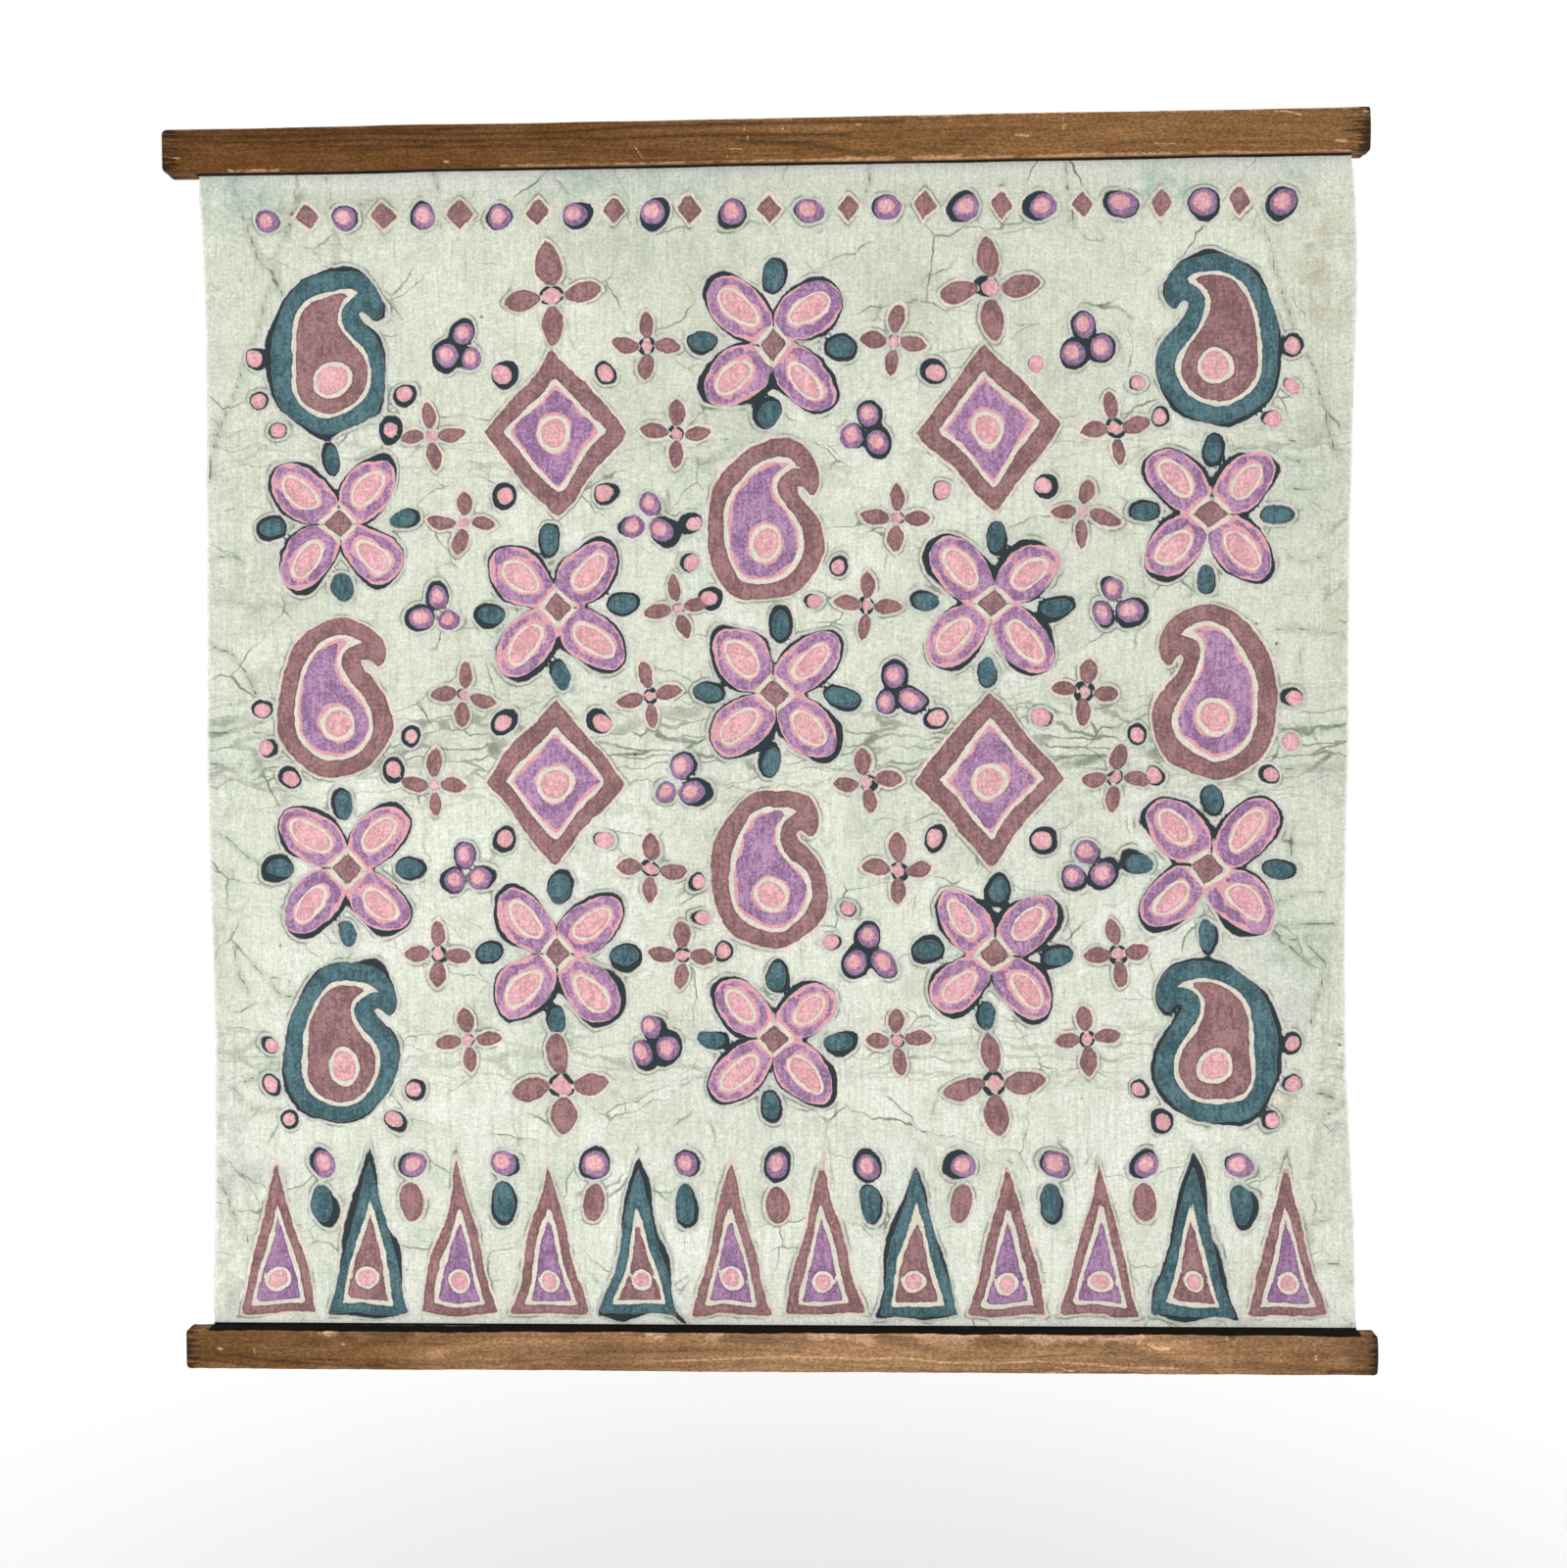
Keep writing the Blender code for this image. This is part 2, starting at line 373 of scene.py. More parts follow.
def rosette(x, z, petal, heart):
    """Four ovals set crosswise, each with a slim heart, about a small lozenge; drops between."""
    rim = ring_of(x, z, 4, 31.0, np.pi / 4, lambda x, z, cx, cz, b: oval(x, z, cx, cz, 25.0, 16.5, b))
    inner = ring_of(x, z, 4, 33.0, np.pi / 4, lambda x, z, cx, cz, b: oval(x, z, cx, cz, 13.5, 6.6, b))
    drops = ring_of(x, z, 4, 45.0, 0.0, lambda x, z, cx, cz, b: oval(x, z, cx, cz, 9.5, 5.8, b))
    middle = lozenge(x, z, 10.5, 10.5)
    return {
        petal: outside(outside(rim, inner - 1.8), middle - WAX_LINE),
        heart: inner,
        "teal": drops,
        "mulberry": middle,
        "motif": np.minimum(rim, np.minimum(drops, middle)),
    }


def nested_lozenge(x, z, body, core):
    """Lozenges one inside the other, with a bead beside each side."""
    rim = lozenge(x, z, 48.0, 56.0)
    heart = disc(x, z, 0.0, 0.0, 9.5)
    beads = disc(np.abs(x), np.abs(z), 34.0, 39.5, 5.8)
    return {
        body: outside(rim, rim + 11.0),
        core: outside(rim + 11.0 + WAX_LINE, heart - WAX_LINE),
        "pink": np.minimum(heart, beads),
        "motif": np.minimum(rim, beads),
    }


def crossed_leaves(x, z, blade, bead):
    """Four pointed leaves crossed about a bead."""
    blades = ring_of(x, z, 4, 13.6, 0.0, lambda x, z, cx, cz, b: leaf(x, z, cx, cz, 9.6, 5.0, b))
    middle = disc(x, z, 0.0, 0.0, 3.6)
    return {blade: outside(blades, middle - 1.2), bead: middle, "motif": np.minimum(blades, middle)}


def three_beads(x, z, bead, under):
    """Three beads, each on a slightly larger one of a second dye."""
    beads = ring_of(x, z, 3, 10.8, np.pi / 2, lambda x, z, cx, cz, b: disc(x, z, cx, cz, 4.9))
    shifted = ring_of(x, z, 3, 10.8, np.pi / 2, lambda x, z, cx, cz, b: disc(x, z, cx + 0.8, cz - 0.7, 7.6))
    return {bead: beads, under: shifted, "motif": np.minimum(beads, shifted)}


def spear(x, z, body, core):
    """One tall triangle inside another, with a bead near its foot."""
    rim = tall_triangle(x, z, 26.5, 104.0)
    bead = disc(x, z, 0.0, 23.5, 5.6)
    return {
        body: outside(rim, rim + 6.5),
        core: outside(rim + 6.5 + WAX_LINE, bead - 2.0),
        "pink": bead,
        "motif": rim,
    }


def between_spears(x, z, drop, bead):
    """A drop with a bead above it."""
    rim = oval(x, z, 0.0, 76.0, 13.5, 7.0, np.pi / 2)
    dot = disc(x, z, 0.0, 103.0, 5.2)
    under = disc(x, z, 0.9, 102.2, 8.0)
    return {drop: rim, bead: dot, "violet": under, "motif": np.minimum(np.minimum(rim, dot), under)}


def border_bead(x, z, bead):
    """A bead on a slightly larger one of a second dye."""
    dot = disc(x, z, 0.0, 0.0, 5.4)
    under = disc(x, z, 0.9, -0.8, 8.3)
    return {bead: dot, "violet": under, "motif": np.minimum(dot, under)}


def border_lozenge(x, z, dye):
    """A small plain lozenge."""
    rim = lozenge(x, z, 8.0, 10.0)
    return {dye: rim, "motif": rim}


def stamp(fields, x, z, motif, at, turn=0.0, size=1.0, reach=90.0, **dyes):
    """Draws one motif: round its place, each dye keeps the lesser of its own distance and the
    motif's, with the coordinates bent a little, as lines drawn by hand are."""
    near = (np.abs(x - at[0]) < reach) & (np.abs(z - at[1]) < reach)
    bend_x = HAND_BEND * sway(x[near], z[near], 48.0, 3)
    bend_z = HAND_BEND * sway(x[near], z[near], 48.0, 4)
    local_x, local_z = turned(x[near] + bend_x, z[near] + bend_z, at[0], at[1], turn)
    for dye, distance in motif(local_x / size, local_z / size, **dyes).items():
        fields[dye][near] = np.minimum(fields[dye][near], distance * size)


def draw_field(fields, x, z, draw):
    """Five staggered columns of large motifs, with small ones in the gaps between them."""
    for column in range(5):
        lowered = column % 2
        at_column = DESIGN_MIDDLE + (column - 2) * COLUMN_PITCH
        for row in range(4 if lowered else 5):
            at = (at_column + draw.uniform(-2.0, 2.0), DESIGN_TOP - ROW_PITCH * (row + 0.5 * lowered))
            size = draw.uniform(0.96, 1.04)
            turn = np.radians(draw.uniform(-4.0, 4.0))
            if lowered and row % 2 == 0:
                motif, dyes = nested_lozenge, dict(body="mulberry", core="overdyed")
            elif not lowered and (row + column // 2) % 2 == 0:
                motif = mirrored_paisley if column > 2 else paisley
                dyes = dict(body="mulberry", core="overdyed")
                if (row + column) % 4 == 0:
                    dyes = dict(body="teal", core="mulberry")
            else:
                motif, dyes = rosette, dict(petal="overdyed", heart="pink")
            stamp(fields, x, z, motif, at, turn, size, **dyes)
        if lowered:
            for at_z in (DESIGN_TOP + 34.0, DESIGN_TOP - 4 * ROW_PITCH - 30.0):
                stamp(fields, x, z, crossed_leaves, (at_column, at_z), 0.1, 1.5, blade="mulberry", bead="pink")
    for gap in range(4):
        for step in range(9):
            away_from_near = -10.0 if step % 2 else 10.0
            side = 1.0 if gap % 2 == 0 else -1.0
            at_x = DESIGN_MIDDLE + (gap - 1.5) * COLUMN_PITCH + side * away_from_near
            at = (at_x, DESIGN_TOP - ROW_PITCH * 0.5 * step)
            turn = np.radians(draw.uniform(-10.0, 10.0))
            if (step + gap) % 3 == 0:
                stamp(fields, x, z, three_beads, at, turn, bead="pink", under="violet")
            else:
                stamp(fields, x, z, crossed_leaves, at, turn, blade="mulberry", bead="pink")


def draw_borders(fields, x, z):
    """Tall triangles along the foot, and beads and lozenges along the head."""
    for step in range(SPEAR_COUNT):
        at_x = DESIGN_MIDDLE + (step - (SPEAR_COUNT - 1) / 2) * SPEAR_PITCH
        dyes = dict(body="teal", core="mulberry") if step % 3 == 1 else dict(body="mulberry", core="violet")
        stamp(fields, x, z, spear, (at_x, BORDER_FOOT), reach=130.0, **dyes)
        if step < SPEAR_COUNT - 1:
            drop = "mulberry" if step % 2 else "teal"
            at = (at_x + SPEAR_PITCH / 2, BORDER_FOOT)
            stamp(fields, x, z, between_spears, at, reach=130.0, drop=drop, bead="pink")
    for step in range(TOP_BORDER_COUNT):
        at = (DESIGN_MIDDLE + (step - (TOP_BORDER_COUNT - 1) / 2) * TOP_BORDER_PITCH, TOP_BORDER)
        if step % 2:
            stamp(fields, x, z, border_lozenge, at, reach=25.0, dye="mulberry")
        else:
            stamp(fields, x, z, border_bead, at, reach=25.0, bead="pink")


def draw_design(x, z):
    """Every dye's distance at every point, in mm."""
    fields = {dye: np.full(x.shape, UNDYED) for dye in DYES}
    draw_field(fields, x, z, np.random.default_rng(11))
    draw_borders(fields, x, z)
    return fields


# The cloth.

# Washes and spots in the ground: dye, x, z, half width and half height in mm, strength.
STAINS = (
    ("teal", -357, -26, 26, 14, 0.75),
    ("teal", -82, -20, 62, 13, 0.55),
    ("teal", 268, -30, 24, 12, 0.55),
    ("teal", 352, -24, 14, 8, 0.45),
    ("teal", -20, -262, 30, 40, 0.16),
    ("teal", -368, -404, 20, 16, 0.22),
    ("plum", -371, -655, 9, 46, 0.55),
    ("plum", -372, -420, 8, 5, 0.50),
    ("plum", 368, -422, 11, 7, 0.60),
    ("plum", 384, -640, 6, 40, 0.30),
    ("grey", -340, -48, 40, 16, 0.40),
    ("grey", 375, -96, 18, 30, 0.60),
    ("grey", -250, -38, 120, 10, 0.30),
    ("grey", 180, -42, 140, 12, 0.30),
    ("grey", -366, -262, 20, 50, 0.30),
    ("grey", -362, -716, 18, 46, 0.38),
    ("grey", 0, -402, 420, 26, 0.22),
    ("grey", -368, -515, 14, 36, 0.30),
    ("grey", -370, -772, 12, 22, 0.50),
    ("grey", -270, -88, 16, 12, 0.55),
    ("grey", -236, -66, 22, 8, 0.45),
    ("grey", -338, -296, 22, 26, 0.40),
    ("grey", -318, -355, 26, 8, 0.35),
    ("grey", 322, -205, 30, 10, 0.35),
    ("grey", 336, -486, 18, 28, 0.20),
    ("grey", -120, -640, 34, 16, 0.32),
    ("grey", 120, -96, 44, 20, 0.35),
    ("grey", -92, -64, 60, 18, 0.30),
    ("grey", 224, -366, 26, 10, 0.40),
    ("ochre", 376, -600, 7, 56, 0.34),
    ("ochre", 352, -640, 26, 7, 0.45),
    ("ochre", -372, -560, 8, 30, 0.25),
    ("ochre", -330, -742, 22, 8, 0.30),
    ("ochre", 376, -300, 6, 46, 0.30),
    ("ochre", 372, -90, 16, 40, 0.34),
    ("teal", 362, -560, 10, 22, 0.30),
    ("teal", 340, -545, 8, 5, 0.40),
    ("teal", 356, -226, 14, 10, 0.26),
    ("grey", 356, -540, 18, 12, 0.30),
    ("plum", 356, -585, 14, 20, 0.30),
    ("plum", -340, -690, 20, 12, 0.18),
)


def side_edges(drop):
    """The x of the cloth's left and right edges: polynomials through the table's rows."""
    fits = [
        np.polynomial.Polynomial.fit(SIDE_EDGES[:, 0], SIDE_EDGES[:, column], SIDE_EDGE_DEGREE)
        for column in (1, 2)
    ]
    return fits[0](drop), fits[1](drop)


def relief(x, drop):
    """How far the cloth stands forwards of the plane in which the slats clamp it: a bell across each
    hanging fold and storage fold and a wave along each side edge, all eased to 0 at the slats."""
    fall = (drop - FIRST_FREE_DROP) / (LAST_FREE_DROP - FIRST_FREE_DROP)
    forwards = np.zeros_like(x)
    for top_x, bottom_x, half_width, height in HANGING_FOLDS:
        forwards += height * bell(x - (top_x + (bottom_x - top_x) * fall), half_width)
    for fold_drop, tilt, half_width, height in STORAGE_FOLDS:
        forwards += height * bell(drop - fold_drop - tilt * x, half_width)
    left, right = side_edges(drop)
    from_side = np.minimum(x - left, right - x)
    curl = SIDE_CURL * np.sin(2.0 * np.pi * drop / SIDE_CURL_WAVE + 2.0 * x / SLAT_LENGTH)
    forwards += curl * bell(from_side, SIDE_CURL_WIDTH)
    return forwards * hold(drop, HOLD_LENGTH)


def hold(drop, length):
    """0 where the slats clamp the cloth, easing to 1 over a length below or above them."""
    from_slat = np.minimum(drop - FIRST_FREE_DROP, LAST_FREE_DROP - drop) - FLAT_MARGIN
    return ease(from_slat / length)


def puckers(x, drop):
    """Small unevenness of a washed and ironed cloth: soft waves of two sizes, short upright tucks
    under each slat, and a ridge or trough along each crease."""
    x_mm, z_mm = x / MM, -drop / MM
    forwards = 0.42 * sway(x_mm, z_mm, 60.0, 21) + 0.17 * sway(x_mm, z_mm, 22.0, 22)
    forwards += 0.12 * sway(x_mm, z_mm * 0.15, 16.0, 23)
    from_slat = np.minimum(drop - FIRST_FREE_DROP, LAST_FREE_DROP - drop) / MM
    tucks = sway(x_mm, 0.0 * z_mm, 34.0, 24) * np.maximum(sway(x_mm, 0.0 * z_mm, 150.0, 25), 0.0)
    forwards += 0.9 * tucks * bell(from_slat - 12.0, 22.0)
    for half_width, height, points in CREASES:
        away, _ = line_distance(x_mm, z_mm, points)
        forwards += height * bell(away, half_width * 0.5)
    return forwards * MM * hold(drop, 0.012)


def make_cloth():
    """One open sheet. Each row runs from the left edge to the right one at its drop, and each point
    stands forwards of the clamping plane by its relief and its puckers."""
    across = np.linspace(0.0, 1.0, CLOTH_COLUMNS)[None, :]
    drop = np.linspace(FIRST_FREE_DROP - CLOTH_TUCK, LAST_FREE_DROP + CLOTH_TUCK, CLOTH_ROWS)[:, None]
    left, right = side_edges(drop)
    left = left + 0.25 * MM * sway(0.0 * drop, drop / MM, 11.0, 31)
    right = right + 0.25 * MM * sway(0.0 * drop, drop / MM, 11.0, 32)
    x = left + (right - left) * across
    drop = np.broadcast_to(drop, x.shape)
    y = CLOTH_MIDDLE_Y - relief(x, drop) - puckers(x, drop)
    points = np.stack((x, y, -drop), axis=-1).reshape(-1, 3)
    faces = grid_faces(CLOTH_ROWS, CLOTH_COLUMNS)
    cloth = add_piece("batik_sheet", points, faces, batik_cotton())

    x_mm, z_mm = x / MM, -drop / MM
    fields = draw_design(x_mm, z_mm)
    fields["rimmed"] = np.min([fields[dye] for dye in ("violet", "overdyed", "pink", "teal")], axis=0)
    for name, values in fields.items():
        keep_field(cloth, name, values)
    keep_field(cloth, "dark_rim", np.maximum(1.8 + 2.6 * sway(x_mm, z_mm, 40.0, 41), 0.0))
    bent_x = x_mm + 1.8 * sway(x_mm, z_mm, 26.0, 42)
    bent_z = z_mm + 1.8 * sway(x_mm, z_mm, 26.0, 43)
    away, side = nearest_line(bent_x, bent_z, [points for _, _, points in CREASES])
    keep_field(cloth, "crease_away", away)
    keep_field(cloth, "crease_side", side)
    for wanted in ("teal", "plum", "grey", "ochre"):
        wash = np.zeros_like(x_mm)
        for dye, at_x, at_z, half_width, half_height, strength in STAINS:
            if dye == wanted:
                wash += strength * bell(np.hypot((x_mm - at_x) / half_width, (z_mm - at_z) / half_height), 1.0)
        keep_field(cloth, wanted + "_wash", wash)
    folded = bell(z_mm + 402.0, 26.0) + 0.38 * bell(z_mm + 205.0, 16.0) + 0.45 * bell(z_mm + 610.0, 18.0)
    keep_field(cloth, "folded", folded)
    keep_field(cloth, "from_edge", np.minimum(x - left, right - x) / MM)
    toning = ease(np.maximum(np.abs(x_mm - DESIGN_MIDDLE) / 390.0, np.abs(z_mm + 404.0) / 400.0) ** 2)
    keep_field(cloth, "toning", toning)
    return cloth


# The materials.


def add(tree, kind, inputs=None, **settings):
    """Adds a node, with its settings, and gives each named or numbered input a value or a link."""
    node = tree.nodes.new("ShaderNode" + kind)
    for name, value in settings.items():
        setattr(node, name, value)
    for key, source in (inputs or {}).items():
        if isinstance(key, int):
            socket = node.inputs[key]
        else:
            socket = next(s for s in node.inputs if s.enabled and s.name == key)
        if isinstance(source, bpy.types.Node):
            source = next(s for s in source.outputs if s.enabled)
        if isinstance(source, bpy.types.NodeSocket):
            tree.links.new(source, socket)
        else:
            socket.default_value = source
    return node


def new_material(name):
    """A material with its node tree, its shader, and its object's coordinates in mm."""
    material = bpy.data.materials.new(name)
    material.use_nodes = True
    tree = material.node_tree
    metres = add(tree, "TexCoord").outputs["Object"]
    in_mm = add(tree, "VectorMath", {"Vector": metres, "Scale": 1.0 / MM}, operation="SCALE")
    return material, tree, tree.nodes["Principled BSDF"], in_mm


def cotton_ground(tree, in_mm, field):
    """The undyed part of the cloth: pale green-grey from the last dye bath, a little deeper towards
    the head and the edges, mottled, streaked down the warp, washed with stains and smudges, and
    lightened by painted light in a narrow band along each slat."""
    cloudy = add(tree, "TexNoise", {"Vector": in_mm, "Scale": 1 / 110, "Detail": 6.0, "Roughness": 0.62})
    height = add(tree, "SeparateXYZ", {0: in_mm}).outputs["Z"]
    down = add(tree, "Mapping", {"Vector": in_mm, "Scale": (1 / 3.2, 1.0, 1 / 95)})
    broad_streaks = add(tree, "TexNoise", {"Vector": down, "Scale": 1.0, "Detail": 3.0})
    down = add(tree, "Mapping", {"Vector": in_mm, "Scale": (1 / 1.9, 1.0, 1 / 26)})
    fine_streaks = add(tree, "TexNoise", {"Vector": down, "Scale": 1.0, "Detail": 2.0})
    warm = add(tree, "TexNoise", {"Vector": in_mm, "Scale": 1 / 61, "Detail": 3.0, "Roughness": 0.55})
    clouds = add(tree, "TexNoise", {"Vector": in_mm, "Scale": 1 / 24, "Detail": 6.0, "Roughness": 0.68})
    pale = add(tree, "TexNoise", {"Vector": in_mm, "Scale": 1 / 38, "Detail": 5.0, "Roughness": 0.6})
    edges = add(tree, "Math", {0: field["toning"], 1: cloudy}, operation="MULTIPLY")
    layers = (
        (cloudy, 0.36, 0.66, 1.0, "D9DECD"),
        (height, -520.0, 0.0, 0.50, "DBDECB"),
        (height, -300.0, -800.0, 0.50, "F3F5EB"),
        (warm, 0.50, 0.75, 0.50, "E3DDCC"),
        (edges, 0.0, 1.0, 0.32, "CBD1BB"),
        (pale, 0.54, 0.72, 0.55, "F0F1E8"),
        (clouds, 0.50, 0.76, 0.50, "B4BDA8"),
        (broad_streaks, 0.52, 0.74, 0.30, "B2BAA2"),
        (fine_streaks, 0.50, 0.78, 0.42, "B3BDA4"),
        # Painted light: lighter bands on the cloth just below the upper slat and just above the lower one, lifting the
        # shade that the slats cast there.
        (height, -28.0, -14.0, 0.75, "F7F8F1"),
        (height, -782.0, -794.0, 0.75, "F7F8F1"),
    )
    colour = linear("EBEEE1")
    for source, low, high, strength, hex_colour in layers:
        amount = add(tree, "MapRange", {"Value": source, "From Min": low, "From Max": high, "To Max": strength})
        colour = add(tree, "Mix", {"Factor": amount, "A": colour, "B": linear(hex_colour)}, data_type="RGBA")

    patchy = add(tree, "TexNoise", {"Vector": in_mm, "Scale": 1 / 13, "Detail": 6.0, "Roughness": 0.7})
    patchy = add(tree, "MapRange", {"Value": patchy, "From Min": 0.40, "From Max": 0.62})
    washes = (
        ("grey_wash", "9FA795"),
        ("teal_wash", "83B0AA"),
        ("plum_wash", "A295B0"),
        ("ochre_wash", "C0A67E"),
    )
    for name, hex_colour in washes:
        wash = add(tree, "Math", {0: field[name], 1: patchy}, operation="MULTIPLY", use_clamp=True)
        colour = add(tree, "Mix", {"Factor": wash, "A": colour, "B": linear(hex_colour)}, data_type="RGBA")
    return colour


def crackle(tree, in_mm, field, colour):
    """Dark threads of dye in the cracks of the wax: the listed creases, loose nets that
    come and go, fine lines along the storage folds, and specks where the wax was pierced."""
    drift = add(tree, "TexNoise", {"Vector": in_mm, "Scale": 1 / 24, "Detail": 3.0})
    drift = add(tree, "VectorMath", {0: drift.outputs["Color"], 1: (0.5, 0.5, 0.5)}, operation="SUBTRACT")
    drift = add(tree, "VectorMath", {"Vector": drift, "Scale": 22.0}, operation="SCALE")
    wandering = add(tree, "VectorMath", {0: in_mm, 1: drift}, operation="ADD")
    faint = add(tree, "TexNoise", {"Vector": in_mm, "Scale": 1 / 34, "Detail": 3.0})

    nets = (
        ((1 / 62, 1.0, 1 / 62), 62.0, 0.9, 0.50, 0.68, 0.0, None),
        ((1 / 110, 1.0, 1 / 80), 90.0, 0.8, 0.45, 0.62, 0.34, None),
        ((1 / 66, 1.0, 1 / 10), 10.0, 0.75, 0.26, 0.52, 0.0, "folded"),
    )
    for scale, cell, width, least, most, soiling, where in nets:
        stretched = add(tree, "Mapping", {"Vector": wandering, "Scale": scale})
        flat = add(tree, "VectorMath", {0: stretched, 1: (1.0, 0.0, 1.0)}, operation="MULTIPLY")
        if soiling:
            cells = add(tree, "TexVoronoi", {"Vector": flat, "Scale": 1.0, "Randomness": 1.0}, feature="F1")
            soiled = add(tree, "SeparateXYZ", {0: cells.outputs["Color"]}).outputs["X"]
            soiled = add(tree, "MapRange", {"Value": soiled, "From Min": 0.4, "From Max": 1.0, "To Max": soiling})
            soiled = add(tree, "Math", {0: soiled, 1: faint}, operation="MULTIPLY")
            colour = add(tree, "Mix", {"Factor": soiled, "A": colour, "B": linear("A9B39E")}, data_type="RGBA")
        net = add(
            tree,
            "TexVoronoi",
            {"Vector": flat, "Scale": 1.0, "Randomness": 1.0},
            feature="DISTANCE_TO_EDGE",
        )
        line = add(
            tree,
            "MapRange",
            {
                "Value": net,
                "From Min": 0.25 * width / cell,
                "From Max": width / cell,
                "To Min": 1.0,
                "To Max": 0.0,
            },
            interpolation_type="SMOOTHSTEP",
        )
        seen = add(tree, "MapRange", {"Value": faint, "From Min": least, "From Max": most, "To Max": 0.85})
        line = add(tree, "Math", {0: line, 1: seen}, operation="MULTIPLY")
        if where:
            line = add(tree, "Math", {0: line, 1: field[where]}, operation="MULTIPLY", use_clamp=True)
        colour = add(tree, "Mix", {"Factor": line, "A": colour, "B": linear("747B66")}, data_type="RGBA")

    side = add(tree, "Math", {0: field["crease_side"]}, operation="ABSOLUTE")
    near = add(tree, "Math", {0: side, 1: field["crease_away"]}, operation="MAXIMUM")
    for width, strength, hex_colour in ((4.8, 0.34, "9AA28C"), (1.1, 0.85, "59624F")):
        line = add(
            tree,
            "MapRange",
            {"Value": near, "From Min": 0.2 * width, "From Max": width, "To Min": 1.0, "To Max": 0.0},
            interpolation_type="SMOOTHSTEP",
        )
        worn = add(
            tree, "MapRange", {"Value": faint, "From Min": 0.30, "From Max": 0.48, "To Max": strength}
        )
        line = add(tree, "Math", {0: line, 1: worn}, operation="MULTIPLY")
        colour = add(tree, "Mix", {"Factor": line, "A": colour, "B": linear(hex_colour)}, data_type="RGBA")

    for spacing, size, strength in ((19.0, 0.050, 0.6), (41.0, 0.040, 0.85)):
        dots = add(tree, "TexVoronoi", {"Vector": in_mm, "Scale": 1 / spacing, "Randomness": 1.0}, feature="F1")
        dot = add(
            tree,
            "MapRange",
            {
                "Value": dots.outputs["Distance"],
                "From Min": 0.4 * size,
                "From Max": size,
                "To Min": strength,
                "To Max": 0.0,
            },
        )
        colour = add(tree, "Mix", {"Factor": dot, "A": colour, "B": linear("4E5853")}, data_type="RGBA")
    return colour


